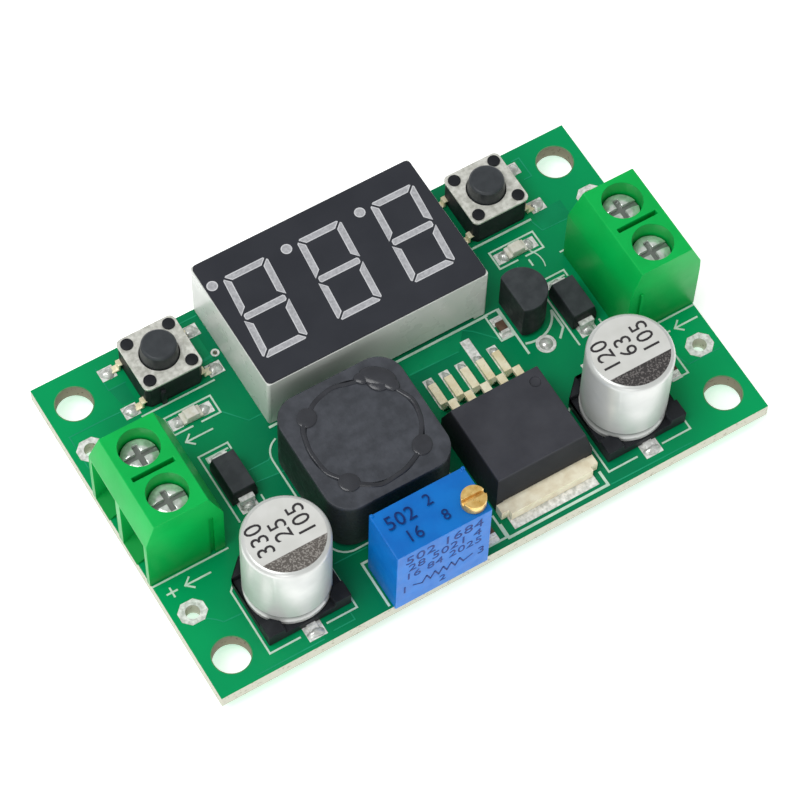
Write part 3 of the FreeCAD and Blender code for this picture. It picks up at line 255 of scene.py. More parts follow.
mask_depth = 0.02 * MM
above = add_math(tree, "GREATER_THAN", up, board_high.z - mask_depth)
below = add_math(tree, "LESS_THAN", up, board_low.z + mask_depth)
masked = add_math(tree, "MAXIMUM", above, below)
tree.links.new(add_mix(tree, masked, sides, green), surface.inputs["Base Color"])
gloss = add_range(tree, masked, 0.0, 1.0, new_low=0.75, new_high=0.3)
tree.links.new(gloss, surface.inputs["Roughness"])
surface.inputs["Specular IOR Level"].default_value = 0.12
weave = add_noise(tree, place, 0.7, detail=2.0)
add_bump(tree, surface, weave, 0.003)
dress("circuit_board", mask_finish)

# Copper under the mask: the mask over its borders is a lighter green, and small areas of it stand
# out as pale fields. Each border is a low strip, and each field a thin plate.


def flat_plate(shell, points, thickness):
    """Plate that stands on the board on an outline of (x, y) points, all in millimetres."""
    face = shell.faces.new([shell.verts.new((x * MM, y * MM, board_high.z)) for x, y in points])
    lifted = bmesh.ops.extrude_face_region(shell, geom=[face])["geom"]
    tops = [item for item in lifted if isinstance(item, bmesh.types.BMVert)]
    bmesh.ops.translate(shell, verts=tops, vec=(0, 0, thickness * MM))
    bmesh.ops.recalc_face_normals(shell, faces=shell.faces)


def lay_line(shell, points, width, height):
    """Low strip with mitred corners and square ends along a line of points, in millimetres.

    Each strip is a hair higher than the one before, so that strips that cross share no plane.
    """
    spots = [Vector(point) for point in points]
    ways = [(after - spot).normalized() for spot, after in zip(spots, spots[1:])]
    spots[0] -= ways[0] * width / 2
    spots[-1] += ways[-1] * width / 2
    left, right = [], []
    for spot, before, after in zip(spots, ways[:1] + ways, ways + ways[-1:]):
        sideways = (before + after).normalized().orthogonal()
        sideways *= width / 2 / sideways.dot(after.orthogonal())
        left.append(spot + sideways)
        right.append(spot - sideways)
    hair = 0.002
    flat_plate(shell, left + right[::-1], height + len(shell.faces) % 5 * hair)


def lay_ring(shell, x, y, inner, outer, height):
    """Thin ring round (x, y), all in millimetres, lying just above the board."""
    middle = Matrix.Translation((x * MM, y * MM, board_high.z + height * MM))
    edges = set()
    for radius in (inner, outer):
        loop = bmesh.ops.create_circle(shell, segments=40, radius=radius * MM, matrix=middle)
        edges.update(edge for vert in loop["verts"] for edge in vert.link_edges)
    for face in bmesh.ops.bridge_loops(shell, edges=list(edges))["faces"]:
        face.normal_update()
        if face.normal.z < 0:
            face.normal_flip()


def mottled(
    name,
    colour,
    tint,
    patch,
    roughness,
    grain=0.3,
    depth=0.0,
    metallic=0.0,
    shine=0.15,
    painted_shade=None,
):
    """Finish with two close colours in patches, uneven gloss and a fine grain.

    Patch, grain and depth are in millimetres. The optional painted shade is a darker colour, and
    the two heights in millimetres between which it fades in downward.
    """
    finish, tree, surface, place = new_finish(name)
    surface.inputs["Specular IOR Level"].default_value = shine
    mixed = add_mix(tree, add_patches(tree, place, patch), colour, tint)
    if painted_shade:
        # Painted shade: darker towards the bottom.
        dark, start, end = painted_shade
        height = split_place(tree, place)["Z"]
        mixed = add_mix(tree, add_range(tree, height, start * MM, end * MM), dark, mixed)
    tree.links.new(mixed, surface.inputs["Base Color"])
    smudges = add_noise(tree, place, patch * 0.6)
    gloss = add_range(tree, smudges, 0.3, 0.7, roughness * 0.85, roughness * 1.15)
    tree.links.new(gloss, surface.inputs["Roughness"])
    surface.inputs["Metallic"].default_value = metallic
    if depth:
        add_bump(tree, surface, add_noise(tree, place, grain, detail=4.0), depth)
    return finish


border_finish = mottled(
    "mask_over_border", shade(36, 166, 122), shade(20, 150, 106), patch=3.0, roughness=0.3
)
border_height = 0.02
borders = bmesh.new()
for points in (
    ((-25.9, -10.2), (-25.2, -10.75), (-24.7, -11.3), (-22.9, -11.4)),
    ((-20.8, 11.5), (-24.0, 11.6), (-27.7, 11.6), (-27.7, 8.0)),
    ((-22.35, 16.6), (-22.35, 14.05), (-20.6, 14.05)),
    ((-14.6, 7.0), (-12.9, 4.95), (-11.6, 4.95)),
    ((-15.4, 0.55), (-13.4, 0.55), (-12.8, 1.0)),
    ((-15.4, -0.85), (-12.8, -1.1)),
    ((2.1, 1.6), (7.1, 1.45)),
    ((8.5, 3.3), (9.4, 2.6), (11.0, 0.8)),
    ((20.3, 10.0), (20.7, 8.6), (24.0, 8.5)),
    ((22.2, 16.5), (23.0, 16.5), (23.0, 14.2), (22.2, 14.2)),
    ((24.0, -8.4), (24.6, -10.3), (28.0, -10.3)),
    ((-16.8, -16.9), (-14.7, -16.9), (-14.7, -16.1)),
    ((-13.5, -11.35), (-10.2, -11.4)),
    ((11.9, -17.1), (20.5, -17.2)),
    ((-24.6, -17.2), (-18.0, -17.2)),
    ((16.6, 3.4), (16.6, 6.4)),
    ((-14.9, 14.2), (-14.9, 16.9), (-11.7, 16.9)),
):
    lay_line(borders, points, 0.1, border_height)
lay_line(borders, ((-13.4, 12.4), (-12.4, 12.5)), 0.3, border_height)
add_piece("copper_borders", borders, border_finish)

field_finish = mottled(
    "mask_over_field", shade(6, 148, 96), shade(0, 138, 88), patch=4.0, roughness=0.3
)
fields = bmesh.new()
for points in (
    ((-22.3, 14.0), (-20.7, 14.0), (-20.7, 12.1), (-22.0, 12.1)),
    ((-14.6, 11.9), (-12.6, 11.9), (-12.6, 14.9), (-14.6, 14.9)),
    ((-15.3, 0.5), (-13.4, 0.5), (-12.9, 0.9), (-12.9, -1.05), (-15.3, -0.9)),
    ((1.9, 1.5), (7.2, 1.4), (8.6, 3.2), (1.9, 3.3)),
    ((20.8, 8.7), (23.9, 8.6), (23.9, 10.6), (20.8, 10.6)),
):
    flat_plate(fields, points, thickness=0.012)
add_piece("copper_fields", fields, field_finish)

rim_finish = mottled(
    "laminate_rim", shade(122, 156, 112), shade(96, 132, 92), patch=0.5, roughness=0.6
)
rims = bmesh.new()
for x in (-hole_x, hole_x):
    for y in (-hole_y, hole_y):
        lay_ring(rims, x, y, hole_radius + 0.005, hole_radius + 0.08, 0.012)
add_piece("corner_hole_rims", rims, rim_finish)

# White print on the board: outlines of the parts, and signs for the current's way in and out with
# its polarity. It is screened on in thin epoxy ink, so each line is a low strip.

ink_finish = mottled(
    "white_board_ink", shade(214, 236, 220), shade(192, 222, 202), patch=1.0, roughness=0.5
)
ink = bmesh.new()
ink_height = 0.045


def arc(x, y, radius, first, last, steps):
    """Points on part of a circle, its angles in degrees."""
    angles = [math.radians(first + (last - first) * i / steps) for i in range(steps + 1)]
    return [(x + radius * math.cos(angle), y + radius * math.sin(angle)) for angle in angles]


def ink_line(*points, width=0.17):
    """Printed line through points, in millimetres."""
    lay_line(ink, points, width, ink_height)


def ink_arrow(tail, tip, y):
    """Arrow along the board whose head has two barbs."""
    barb = 0.62 if tail > tip else -0.62
    ink_line((tail, y), (tip, y))
    ink_line((tip + barb, y + 0.55), (tip, y), (tip + barb, y - 0.55))


# The way out with its plus sign, the way in with its minus sign, and the way out's lamp.
ink_arrow(-23.4, -25.9, -6.55)
ink_line((-27.7, -6.55), (-26.75, -6.55))
ink_line((-27.22, -7.0), (-27.22, -6.1))
ink_arrow(28.0, 25.6, -6.5)
ink_line((24.35, -6.5), (25.0, -6.5))
ink_arrow(-16.2, -18.9, 5.85)
# Front and back ends of the two terminals.
ink_line((-28.4, -5.25), (-20.9, -5.25))
ink_line((20.9, -5.25), (28.4, -5.25))
ink_line((-28.4, 5.75), (-20.9, 5.75))
ink_line((20.9, 5.75), (28.4, 5.75))
# Capacitors, whose outlines are cut at two corners.
for x0, x1, front in ((-22.75, -13.95, -16.0), (12.35, 21.1, -15.95)):
    middle = (x0 + x1) / 2
    for x, inward in ((x0, 1), (x1, -1)):
        ink_line(
            (middle - 1.4 * inward, front),
            (x, front),
            (x, -9.1),
            (x + 1.7 * inward, -7.3),
            (middle - 1.3 * inward, -7.3),
        )
# Diodes.
for x0, x1 in ((-18.7, -15.7), (17.1, 20.1)):
    ink_line((x0, -3.5), (x0, 3.95), (x1, 3.95), (x1, 3.3))
    ink_line((x0 + 0.55, 3.0), (x0 + 0.55, 3.45), (x1 - 0.3, 3.45))
    ink_line((x1, -3.5), (x1, -2.2))
# Indicator lamps, and a sign in front of the right one.
for x0, x1 in ((-19.5, -14.7), (15.05, 19.8)):
    ink_line((x0, 7.0), (x0, 8.95), (x1, 8.95), (x1, 6.98), (x1 - 1.9, 6.98))
    ink_line((x0 + 0.1, 6.98), (x0 + 1.9, 6.98))
ink_line((17.9, 5.85), (17.9, 6.45))
ink_line(*arc(16.9, 5.9, 2.1, -20, 40, 6), width=0.1)
# Inductor, whose outline is rounded at the corners.
front_corner, back_corner = arc(-11.2, -9.2, 1.9, 262, 180, 6), arc(-11.2, 0.3, 1.9, 180, 110, 6)
ink_line((-9.4, -11.1), (-11.2, -11.1), *front_corner, *back_corner)
ink_line((-0.1, -9.9), (-0.1, -7.6))
# Regulator's tab and trimmer.
ink_line((1.15, -15.6), (1.15, -17.0), (11.6, -17.0), (11.6, -15.6), width=0.26)
ink_line((-10.9, -12.6), (-11.45, -12.6), (-11.45, -17.25), width=0.22)
ink_line((1.0, -14.5), (1.0, -16.85), (-0.9, -16.85), width=0.2)
# Chip part and transistor-shaped regulator beside it.
ink_line((11.15, 0.4), (12.45, 0.4), (12.45, 3.45))
ink_line((12.45, 3.45), (11.15, 3.45), (11.15, 0.4))
ink_line((12.62, 3.4), (12.62, -1.9), width=0.22)
ink_line(*arc(14.0, 1.8, 2.95, -110, -20, 10), width=0.22)
ink_line((16.8, 0.8), (16.8, -1.2), (16.0, -2.0), width=0.22)
# Chip part by the way in, the switches and the display.
ink_line((22.6, -8.9), (24.1, -8.9), (24.1, -11.0), (22.6, -11.0))
ink_line((-21.0, 10.15), (-13.6, 10.15))
ink_line((13.6, 10.15), (20.3, 10.15), width=0.22)
ink_line((-11.6, 3.38), (11.3, 3.38), width=0.24)
add_piece("board_print", ink, ink_finish)

# Tinned lands, solder and the leads: copper or steel dipped in tin, bright silver with a grain in
# it. The parts are soldered on, so a low mound of solder stands where each lead or end cap meets
# its land.


def put_on(finish, *names):
    """Gives shown nodes or pieces their finish."""
    for name in names:
        mesh = bpy.data.objects[name].data
        mesh.materials.clear()
        mesh.materials.append(finish)


tin_finish = mottled(
    "tinned_land",
    shade(255, 255, 252),
    shade(204, 206, 200),
    patch=0.4,
    roughness=0.4,
    grain=0.2,
    depth=0.02,
    metallic=0.15,
    shine=0.5,
)
put_on(tin_finish, "tinned_pads", "chip_end_caps", "controller_leads", "display_pins")
put_on(tin_finish, "transistor_leads", "trimmer_pins", "inductor_terminals", "diode_leads")
lead_finish = mottled(
    "tinned_lead",
    shade(255, 248, 218),
    shade(236, 222, 180),
    patch=1.2,
    roughness=0.3,
    grain=0.2,
    depth=0.01,
    metallic=0.1,
    shine=0.6,
)
for node in ("regulator_leads", "left_switch_legs", "right_switch_legs"):
    dress(node, lead_finish, edge=0.05)
for node in ("output_capacitor_leads", "input_capacitor_leads"):
    dress(node, tin_finish, edge=0.03)
solder_finish = mottled(
    "bright_solder",
    shade(236, 238, 234),
    shade(184, 185, 180),
    patch=0.5,
    roughness=0.25,
    grain=0.3,
    depth=0.04,
    metallic=0.35,
    shine=0.5,
)
dress("solder_joints", solder_finish)
fillets = bmesh.new()


def solder_fillet(x, y, length, width, height):
    """Low mound of solder with an uneven skirt, its middle on the land at (x, y) in millimetres."""
    foot = board_high.z + 0.04 * MM
    middle = Matrix.Translation((x * MM, y * MM, 0))
    mound = bmesh.ops.create_uvsphere(
        fillets, u_segments=24, v_segments=12, radius=1.0, matrix=middle
    )
    for vert in mound["verts"]:
        away = Vector((vert.co.x - x * MM, vert.co.y - y * MM))
        angle = math.atan2(away.y, away.x)
        skirt = 1 + 0.1 * math.sin(3 * angle + 7 * x) + 0.06 * math.sin(5 * angle + 5 * y)
        crest = max(0.0, vert.co.z) ** 1.6
        vert.co.x = x * MM + away.x * skirt * length / 2 * MM
        vert.co.y = y * MM + away.y * skirt * width / 2 * MM
        vert.co.z = foot + crest * height * MM


switch_x, switch_y, leg_reach, leg_spread = 17.3, 13.4, 4.3, 2.25
for side in (-1, 1):
    for leg in (-1, 1):
        for end in (-1, 1):
            x, y = side * switch_x + leg * leg_reach, switch_y + end * leg_spread
            solder_fillet(x, y, length=1.5, width=1.25, height=0.36)
lamp_y, lamp_reach = 7.95, 1.3
for lamp_x in (-17.2, 17.35):
    for end in (-1, 1):
        solder_fillet(lamp_x + end * lamp_reach, lamp_y, length=1.1, width=1.15, height=0.4)
capacitor_reach = 5.05
for x, y in ((-18.3, -11.25), (16.9, -11.0)):
    for end in (-1, 1):
        solder_fillet(x, y + end * capacitor_reach, length=1.7, width=1.0, height=0.42)
diode_y, diode_reach = 0.15, 2.8
for diode_x in (-17.2, 18.6):
    for end in (-1, 1):
        solder_fillet(diode_x, diode_y + end * diode_reach, length=1.4, width=0.95, height=0.55)
first_lead, lead_pitch = 3.1, 1.7
for lead in range(5):
    solder_fillet(first_lead + lead_pitch * lead, -0.35, length=0.85, width=1.3, height=0.42)
add_piece("lead_solder", fillets, solder_finish, smooth_angle=60)
via = bmesh.new()
lay_ring(via, -12.1, 12.6, inner=0.225, outer=0.41, height=0.03)
add_piece("via_ring", via, tin_finish)

# Chip parts: small fired ceramic blocks between their tinned end caps, and the microcontroller, a
# flat package moulded of epoxy round its leads. All but three of them sit under the board.

chip_finish = mottled(
    "brown_ceramic",
    shade(108, 86, 72),
    shade(80, 60, 50),
    patch=0.8,
    roughness=0.35,
    grain=0.2,
    depth=0.004,
)
put_on(chip_finish, "chip_bodies")
package_finish = mottled(
    "package_moulding",
    shade(44, 45, 49),
    shade(36, 37, 41),
    patch=2.0,
    roughness=0.55,
    grain=0.08,
    depth=0.006,
)
dress("controller_body", package_finish, edge=0.03)

# Diodes and the transistor-shaped regulator: epoxy moulded round the leads, matt black. The tops
# are left lighter as painted sheen, and the sides are painted darker as shade.


def painted_shade_under(node, colour, deep, shallow):
    """Painted shade: a darker colour that fades in between two depths under a node's top, in
    millimetres.
    """
    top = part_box(node)[1].z / MM
    return colour, top - deep, top - shallow


for node, name, edge in (
    ("diode_bodies", "diode_epoxy", 0.06),
    ("transistor_body", "transistor_epoxy", 0.1),
):
    epoxy_finish = mottled(
        name,
        shade(66, 70, 73),
        shade(56, 60, 63),
        patch=1.0,
        roughness=0.5,
        grain=0.1,
        depth=0.008,
        painted_shade=painted_shade_under(node, shade(34, 38, 40), 0.3, 0.05),
    )
    dress(node, epoxy_finish, edge=edge)

# Indicator lamps: a pale carrier with a clear lens moulded on it, soldered by its two ends. They
# sit in front of the buttons, one towards the way in and one towards the way out.

lamp_finish = mottled(
    "lamp_resin", shade(240, 238, 230), shade(224, 220, 204), patch=0.5, roughness=0.2
)
dress("indicator_lamps", lamp_finish, edge=0.03)

# Regulator: an epoxy body moulded on a tinned copper heat tab, which stands out in front as a
# bright ledge. The tab is soldered flat on its land, and the five leads are bent down behind.

regulator_finish = mottled(
    "regulator_moulding",
    shade(68, 69, 75),
    shade(60, 61, 67),
    patch=3.0,
    roughness=0.5,
    grain=0.07,
    depth=0.008,
    # Painted light and shade: the top is left lighter as sheen, and the sides are painted darker as
    # shade.
    painted_shade=painted_shade_under("regulator_body", shade(38, 40, 43), 0.3, 0.05),
)
dress("regulator_body", regulator_finish, edge=0.08)
tab_finish = mottled(
    "tinned_tab",
    shade(255, 248, 220),
    shade(238, 226, 194),
    patch=1.0,
    roughness=0.35,
    grain=0.4,
    depth=0.01,
    shine=0.6,
)
dress("regulator_heat_tab", tab_finish, edge=0.05)

# Inductor: a pressed ferrite shield round a wound ferrite drum. Black resin fills the seam between
# the two and the four corner columns, and stands a little proud of them.

ferrite_finish = mottled(
    "ferrite",
    shade(74, 77, 84),
    shade(60, 63, 69),
    patch=1.2,
    roughness=0.5,
    grain=0.35,
    depth=0.04,
    shine=0.3,
    # Painted light and shade: the tops are left lighter as sheen, and the sides are painted darker
    # as shade.
    painted_shade=painted_shade_under("inductor_shield", shade(34, 38, 40), 0.5, 0.12),
)
dress("inductor_shield", ferrite_finish, edge=0.15)
dress("inductor_drum", ferrite_finish, edge=0.05)
wire_finish = mottled(
    "copper_wire",
    shade(180, 96, 50),
    shade(140, 70, 36),
    patch=1.0,
    roughness=0.35,
    grain=0.3,
    depth=0.02,
    metallic=0.8,
)
put_on(wire_finish, "inductor_winding")
resin_finish = mottled(
    "black_resin",
    shade(54, 56, 62),
    shade(42, 44, 50),
    patch=2.0,
    roughness=0.24,
    grain=0.6,
    depth=0.03,
    shine=0.5,
)
resin_low, resin_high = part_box("inductor_resin")
centre = (resin_low + resin_high) / 2
resin = bmesh.new()
seam_radius, seam_half = 5.17, 0.3
reaches = [(seam_radius + seam_half * (-1 + i / 4)) * MM for i in range(9)]
profile = [resin.verts.new((centre.x + reach, centre.y, resin_high.z)) for reach in reaches]
profile += [resin.edges.new(pair) for pair in zip(profile, profile[1:] + profile[:1])]
bmesh.ops.spin(
    resin,
    geom=profile,
    cent=centre,
    axis=(0, 0, 1),
    angle=2 * math.pi,
    steps=96,
    use_merge=True,
)
for vert in resin.verts:
    away = (vert.co - centre).xy
    angle = math.atan2(away.y, away.x)
    sideways = (away.length / MM - seam_radius) / seam_half
    wander = 0.1 * math.sin(3 * angle + 0.7) + 0.07 * math.sin(7 * angle + 2.0)
    wander += 0.04 * math.sin(13 * angle)
    crest = 0.1 + 0.1 * wander + 0.05 * math.sin(5 * angle + 1.0)
    reach = seam_radius + wander + (seam_half + 0.1 * wander) * sideways
    away *= reach * MM / away.length
    rise = crest * (1 - sideways * sideways) - 0.12 - 0.25 * sideways**8
    vert.co = (centre.x + away.x, centre.y + away.y, resin_high.z + rise * MM)
bmesh.ops.recalc_face_normals(resin, faces=resin.faces)
for angle, reach, length, width, height in (
    (47, 5.6, 3.4, 2.0, 0.3),
    (33, 5.3, 1.7, 1.3, 0.22),
    (61, 5.3, 1.6, 1.2, 0.2),
    (45, 5.15, 2.2, 1.9, 0.2),
    (-45, 5.25, 2.1, 1.8, 0.12),
    (135, 5.2, 2.0, 1.8, 0.11),
    (225, 5.2, 2.0, 1.8, 0.11),
):
    turn = math.radians(angle)
    x = centre.x + reach * math.cos(turn) * MM
    y = centre.y + reach * math.sin(turn) * MM
    middle = Matrix.Translation((x, y, resin_high.z - 0.04 * MM))
    crosswise = Matrix.Rotation(turn + math.pi / 2, 4, "Z")
    size = Matrix.Diagonal((length / 2 * MM, width / 2 * MM, height * MM, 1))
    bmesh.ops.create_uvsphere(
        resin, u_segments=28, v_segments=14, radius=1.0, matrix=middle @ crosswise @ size
    )
seam = add_piece("inductor_resin_seam", resin, resin_finish, smooth_angle=80)
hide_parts("inductor_resin")

# Electrolytic capacitors: a drawn aluminium can crimped on a black base plate. Its top is coated
# white and printed with a dark sector on the negative side and rows of plain numbers.

can_finish, tree, surface, place = new_finish("drawn_aluminium")
up = split_place(tree, place)["Z"]
crimp_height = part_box("output_capacitor_base")[0].z + 1.9 * MM
from_crimp = add_math(tree, "ABSOLUTE", add_math(tree, "SUBTRACT", up, crimp_height))
shadow = add_range(tree, from_crimp, 0.06 * MM, 0.34 * MM, new_low=1.0, new_high=0.0)
cloudy = add_patches(tree, place, 4.0)
drawn = add_mix(tree, cloudy, shade(222, 224, 221), shade(204, 207, 204))
colour = add_mix(tree, shadow, drawn, shade(112, 118, 114))
tree.links.new(colour, surface.inputs["Base Color"])
gloss = add_range(tree, cloudy, 0.0, 1.0, new_low=0.28, new_high=0.36)
tree.links.new(gloss, surface.inputs["Roughness"])
surface.inputs["Metallic"].default_value = 0.35
base_finish = mottled(
    "capacitor_base",
    shade(42, 44, 48),
    shade(30, 32, 36),
    patch=2.0,
    roughness=0.45,
    grain=0.1,
    depth=0.01,
)
top_finish = mottled(
    "white_top", shade(222, 223, 219), shade(212, 213, 208), patch=2.0, roughness=0.45
)
print_finish = mottled(
    "dark_print", shade(52, 50, 52), shade(64, 62, 64), patch=0.4, roughness=0.5
)


def printed_text(name, words, height, place, turn, finish, squeeze=1.0):
    """Thin print of plain numbers, height millimetres high, with its middle at a place."""
    curve = bpy.data.curves.new(name, "FONT")
    curve.body = words
    curve.size = height * MM
    curve.extrude = 0.01 * MM
    curve.align_x = "CENTER"
    curve.align_y = "CENTER"
    curve.resolution_u = 3
    curve.space_character = 1.05
    text = bpy.data.objects.new(name, curve)
    bpy.context.scene.collection.objects.link(text)
    bpy.context.view_layer.update()
    mesh = bpy.data.meshes.new_from_object(text)
    bpy.data.objects.remove(text)
    mesh.transform(Matrix.Translation(place) @ turn @ Matrix.Diagonal((squeeze, 1, 1, 1)))
    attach(show(name, mesh, finish), "module")


def round_film(x, y, z, radius):
    """Round film on a can's top."""
    film = bmesh.new()
    middle = Matrix.Translation((x, y, z))
    bmesh.ops.create_circle(film, cap_ends=True, segments=64, radius=radius, matrix=middle)
    return film


quarter = Matrix.Rotation(math.pi / 2, 4, "Z")
rounding, row_pitch = 0.45 * MM, 2.05
for which, rows, dark, pale in (
    ("output", ("330", "25", "105"), shade(92, 87, 82), shade(150, 146, 140)),
    ("input", ("120", "63", "105"), shade(54, 51, 51), shade(112, 108, 106)),
):
    dress(f"{which}_capacitor_can", can_finish, smooth_angle=30)
    dress(f"{which}_capacitor_base", base_finish, edge=0.08)
    can_low, can_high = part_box(f"{which}_capacitor_can")
    middle = (can_low + can_high) / 2
    radius = (can_high.x - can_low.x) / 2 - rounding
    disc = round_film(middle.x, middle.y, can_high.z + 0.005 * MM, radius)
    add_piece(f"{which}_capacitor_top", disc, top_finish)

    sector_finish, tree, surface, place = new_finish(f"{which}_speckled_sector")
    specks = add_range(tree, add_noise(tree, place, 0.16, detail=1.0), 0.5, 0.62)
    tree.links.new(add_mix(tree, specks, dark, pale), surface.inputs["Base Color"])
    surface.inputs["Roughness"].default_value = 0.5
    sector = round_film(middle.x, middle.y, can_high.z + 0.012 * MM, radius)
    bmesh.ops.bisect_plane(
        sector,
        geom=sector.verts[:] + sector.edges[:] + sector.faces[:],
        plane_co=middle + Vector((0, -1.6 * MM, 0)),
        plane_no=(0, 1, 0),
        clear_outer=True,
    )
    add_piece(f"{which}_capacitor_sector", sector, sector_finish)

    for row, words in enumerate(rows):
        x = middle.x + (-2.15 + row_pitch * row) * MM
        at = (x, middle.y + 0.65 * MM, can_high.z + 0.02 * MM)
        name = f"{which}_capacitor_print_{row + 1}"
        printed_text(name, words, 2.35, at, quarter, print_finish, squeeze=0.92)

# Trimmer: a blue moulded case with a slotted brass screw standing out of its top. Plain numbers and
# the zigzag sign of a resistor are stamped on it in dark ink.

blue_finish = mottled(
    "blue_moulding",
    shade(0, 118, 208),
    shade(0, 108, 198),
    patch=2.0,
    roughness=0.4,
    grain=0.15,
    depth=0.006,
    shine=0.26,
)
dress("trimmer_case", blue_finish, edge=0.1)
brass_finish = mottled(
    "turned_brass",
    shade(250, 214, 136),
    shade(222, 176, 92),
    patch=0.6,
    roughness=0.3,
    grain=0.2,
    depth=0.01,
    metallic=0.6,
    shine=0.5,
)
dress("trimmer_adjuster_screw", brass_finish, edge=0.06)
inner_finish = mottled(
    "pale_ceramic", shade(226, 222, 212), shade(212, 206, 194), patch=1.0, roughness=0.5
)
put_on(inner_finish, "trimmer_wiper_wheel", "trimmer_resistive_element", "trimmer_base_plate")
top_stamp_finish = mottled(
    "blue_black_stamp", shade(14, 40, 100), shade(24, 56, 122), patch=0.4, roughness=0.5
)
front_stamp_finish = mottled(
    "blue_stamp", shade(12, 44, 116), shade(24, 60, 134), patch=0.4, roughness=0.5
)
case_low, case_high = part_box("trimmer_case")
case_x, case_y = (case_low.x + case_high.x) / 2, (case_low.y + case_high.y) / 2
lying, upright = Matrix.Identity(4), Matrix.Rotation(math.pi / 2, 4, "X")
stamp_proud = 0.01 * MM
for words, x, y, height in (
    ("502", -2.6, 0.75, 1.9),
    ("16", -2.3, -1.15, 1.7),
    ("2", 0.35, 1.1, 1.6),
    ("8", 1.0, -0.9, 1.5),
):
    at = (case_x + x * MM, case_y + y * MM, case_high.z + stamp_proud)
    printed_text(f"trimmer_top_print_{words}", words, height, at, lying, top_stamp_finish)
front_stamps = (
    ("502 1684", 0.0, 8.5, 2.0),
    ("28 5021 4", 0.1, 6.9, 1.75),
    ("16 84 2025", 0.0, 5.35, 1.65),
    ("1", -3.9, 3.0, 1.7),
    ("3", 3.9, 3.0, 1.7),
    ("2", 0.0, 1.5, 1.5),
)
for row, (words, x, z, height) in enumerate(front_stamps, start=1):
    at = (case_x + x * MM, case_low.y - stamp_proud, board_high.z + z * MM)
    printed_text(f"trimmer_front_print_{row}", words, height, at, upright, front_stamp_finish)
zigzag = bmesh.new()
wire_z, swing, step = 3.2, 0.5, 0.42
peaks = [(-2.1 + step * i, wire_z + (swing if i % 2 else -swing)) for i in range(11)]
peaks = [(-3.0, wire_z), *peaks, (3.0, wire_z)]
for (x0, z0), (x1, z1) in zip(peaks, peaks[1:]):
    length = math.hypot(x1 - x0, z1 - z0) + 0.12
    lean = Matrix.Rotation(-math.atan2(z1 - z0, x1 - x0), 4, "Y")
    size = Matrix.Diagonal((length * MM, 0.02 * MM, 0.16 * MM, 1))
    x, z = case_x + (x0 + x1) / 2 * MM, board_high.z + (z0 + z1) / 2 * MM
    middle = Matrix.Translation((x, case_low.y - stamp_proud, z))
    bmesh.ops.create_cube(zigzag, size=1.0, matrix=middle @ lean @ size)
add_piece("trimmer_resistor_sign", zigzag, front_stamp_finish)

# Tact switches: a black moulded base and a stamped steel cover held by four melted posts. The
# charcoal button passes through the cover and rests on a snap dome.

steel_finish = mottled(
    "satin_steel",
    shade(240, 240, 232),
    shade(200, 200, 190),
    patch=0.5,
    roughness=0.35,
    grain=0.12,
    depth=0.012,
    metallic=0.25,
    shine=0.5,
)
button_finish = mottled(
    "button_plastic",
    shade(62, 66, 70),
    shade(54, 58, 62),
    patch=1.0,
    roughness=0.4,
    grain=0.15,
    depth=0.008,
    shine=0.35,
    # Painted shade: the buttons' sides are darker than their tops.
    painted_shade=painted_shade_under("left_switch_button", shade(42, 46, 49), 0.3, 0.1),
)
for side in ("left", "right"):
    dress(f"{side}_switch_base", base_finish, edge=0.05)
    dress(f"{side}_switch_cover", steel_finish, edge=0.05)
    dress(f"{side}_switch_button", button_finish, edge=0.08)
    put_on(steel_finish, f"{side}_switch_snap_dome")

# Display: a pale grey moulded housing, its face printed near black. The segments and points are
# light guides cast of cloudy resin, each with a clearer rim where it meets the housing.

housing_finish = mottled(
    "display_moulding",
    shade(230, 233, 228),
    shade(224, 228, 222),
    patch=4.0,
    roughness=0.3,
    grain=0.5,
    depth=0.002,
    shine=0.35,
)
dress("display_housing", housing_finish, edge=0.05)
face_finish = mottled(
    "display_print",
    shade(56, 58, 64),
    shade(52, 54, 60),
    patch=4.0,
    roughness=0.5,
    grain=0.1,
    depth=0.003,
    shine=0.1,
)
dress("display_face", face_finish)
guide_finish = mottled(
    "cloudy_guide",
    shade(190, 191, 195),
    shade(166, 167, 171),
    patch=0.25,
    roughness=0.45,
    grain=0.15,
    depth=0.01,
)
rim_of_guide_finish = mottled(
    "clear_guide_rim", shade(222, 223, 226), shade(206, 207, 210), patch=0.4, roughness=0.4
)
guides = dress("display_light_guides", guide_finish)
guides.data.materials.append(rim_of_guide_finish)
rimmed = bmesh.new()
rimmed.from_mesh(guides.data)
fronts = [face for face in rimmed.faces if face.normal.z > 0.9 and len(face.verts) > 3]
for face in bmesh.ops.inset_individual(rimmed, faces=fronts, thickness=0.1 * MM)["faces"]:
    face.material_index = 1
rimmed.to_mesh(guides.data)
rimmed.free()
put_on(inner_finish, "display_lamp_board")

# Screw terminals: green moulded housings, with zinc plated clamp screws that raise a cage of folded
# steel against a tinned contact bar. The slots in the screw heads lie in shade.

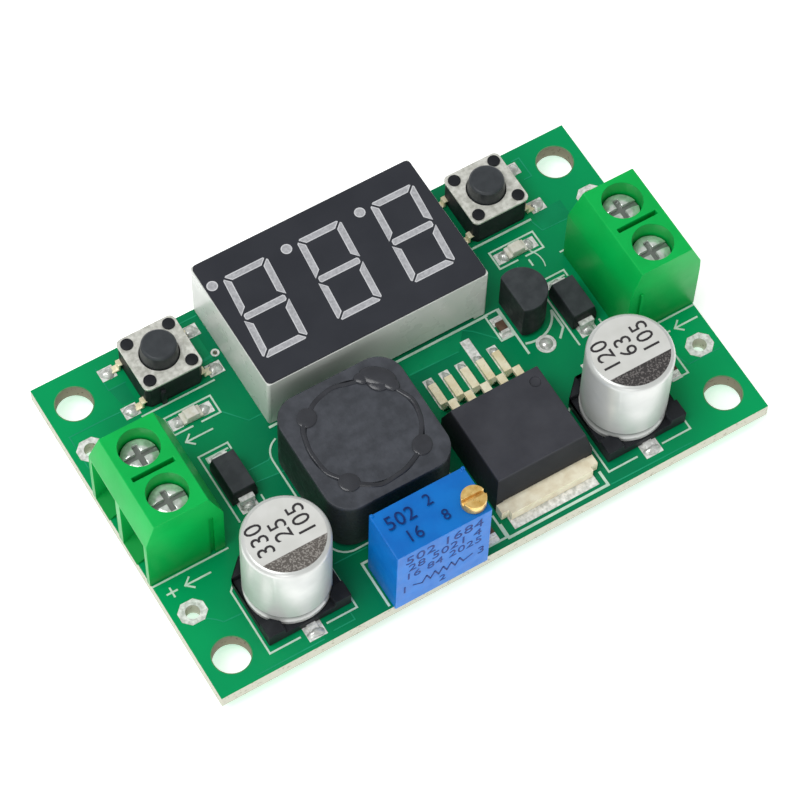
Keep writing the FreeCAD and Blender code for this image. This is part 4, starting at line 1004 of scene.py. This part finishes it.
board_top = board_high.z / MM
terminal_finish = mottled(
    "green_moulding",
    shade(2, 190, 84),
    shade(0, 178, 76),
    patch=4.0,
    roughness=0.35,
    grain=0.4,
    depth=0.006,
    shine=0.2,
    # Painted shade: the housings darken towards the board.
    painted_shade=(shade(0, 140, 58), board_top - 1.0, board_top + 8.0),
)
zinc_finish = mottled(
    "zinc_plate",
    shade(222, 228, 222),
    shade(176, 182, 176),
    patch=0.7,
    roughness=0.25,
    grain=0.3,
    depth=0.02,
    metallic=0.6,
    shine=0.5,
)
screw_finish = mottled(
    "zinc_screw_head",
    shade(252, 255, 252),
    shade(196, 202, 196),
    patch=0.6,
    roughness=0.2,
    grain=0.3,
    depth=0.03,
    metallic=0.5,
    shine=0.6,
    # Painted shade: darker in the slots and down the heads' sides.
    painted_shade=painted_shade_under("output_terminal_front_screw", shade(130, 135, 130), 0.43, 0.3),
)
for end in ("output", "input"):
    housing = f"{end}_terminal_housing"
    dress(housing, terminal_finish, edge=0.08, lowest=board_high.z + 2 * MM)
    put_on(tin_finish, f"{end}_terminal_contacts")
    for pole in ("front", "back"):
        dress(f"{end}_terminal_{pole}_screw", screw_finish, edge=0.04)
        dress(f"{end}_terminal_{pole}_cage", zinc_finish, edge=0.08)

# Studio: a white floor under the module, a camera where the photograph's was, and two large soft
# lamps. The floor glows a little, so that it stays white and keeps the module's shadow.

white = (1.0, 1.0, 1.0, 1.0)
floor_finish, tree, surface, _ = new_finish("studio_white")
surface.inputs["Base Color"].default_value = white
surface.inputs["Roughness"].default_value = 0.9
surface.inputs["Specular IOR Level"].default_value = 0.0
surface.inputs["Emission Color"].default_value = white
seen = tree.nodes.new("ShaderNodeLightPath").outputs["Is Camera Ray"]
glow = add_range(tree, seen, 0.0, 1.0, new_low=0.62, new_high=0.5)
tree.links.new(glow, surface.inputs["Emission Strength"])
floor = bmesh.new()
bmesh.ops.create_grid(floor, x_segments=1, y_segments=1, size=2.0)
bmesh.ops.translate(floor, verts=floor.verts, vec=(0, 0, cad_box[0][2]))
floor_mesh = bpy.data.meshes.new("floor")
floor.to_mesh(floor_mesh)
floor.free()
floor_piece = show("floor", floor_mesh, floor_finish)

camera_data = bpy.data.cameras.new("camera")
camera_data.sensor_width = 36.0
camera_data.lens = 151.185
camera_data.clip_start = 0.01
camera = bpy.data.objects.new("camera", camera_data)
camera.location = (-79.21 * MM, -122.51 * MM, 269.25 * MM)
camera.rotation_euler = Euler([math.radians(angle) for angle in (28.549, -1.0635, -30.945)])
bpy.context.scene.collection.objects.link(camera)
bpy.context.scene.camera = camera


def soft_lamp(name, place, power):
    """Large round lamp that faces the module."""
    lamp_data = bpy.data.lights.new(name, "AREA")
    lamp_data.shape = "DISK"
    lamp_data.size = 0.4
    lamp_data.energy = power
    lamp = bpy.data.objects.new(name, lamp_data)
    lamp.location = place
    lamp.rotation_euler = (-Vector(place)).to_track_quat("-Z", "Y").to_euler()
    bpy.context.scene.collection.objects.link(lamp)


soft_lamp("overhead_lamp", (-0.26, 0.02, 0.6), 1.9)
soft_lamp("front_lamp", (-0.36, -0.58, 0.33), 0.8)
world = bpy.data.worlds.new("studio")
bpy.context.scene.world = world
world.use_nodes = True
sky = world.node_tree.nodes["Background"]
sky.inputs["Color"].default_value = white
sky.inputs["Strength"].default_value = 0.5

bpy.context.scene.view_settings.view_transform = "Standard"
bpy.context.view_layer.update()
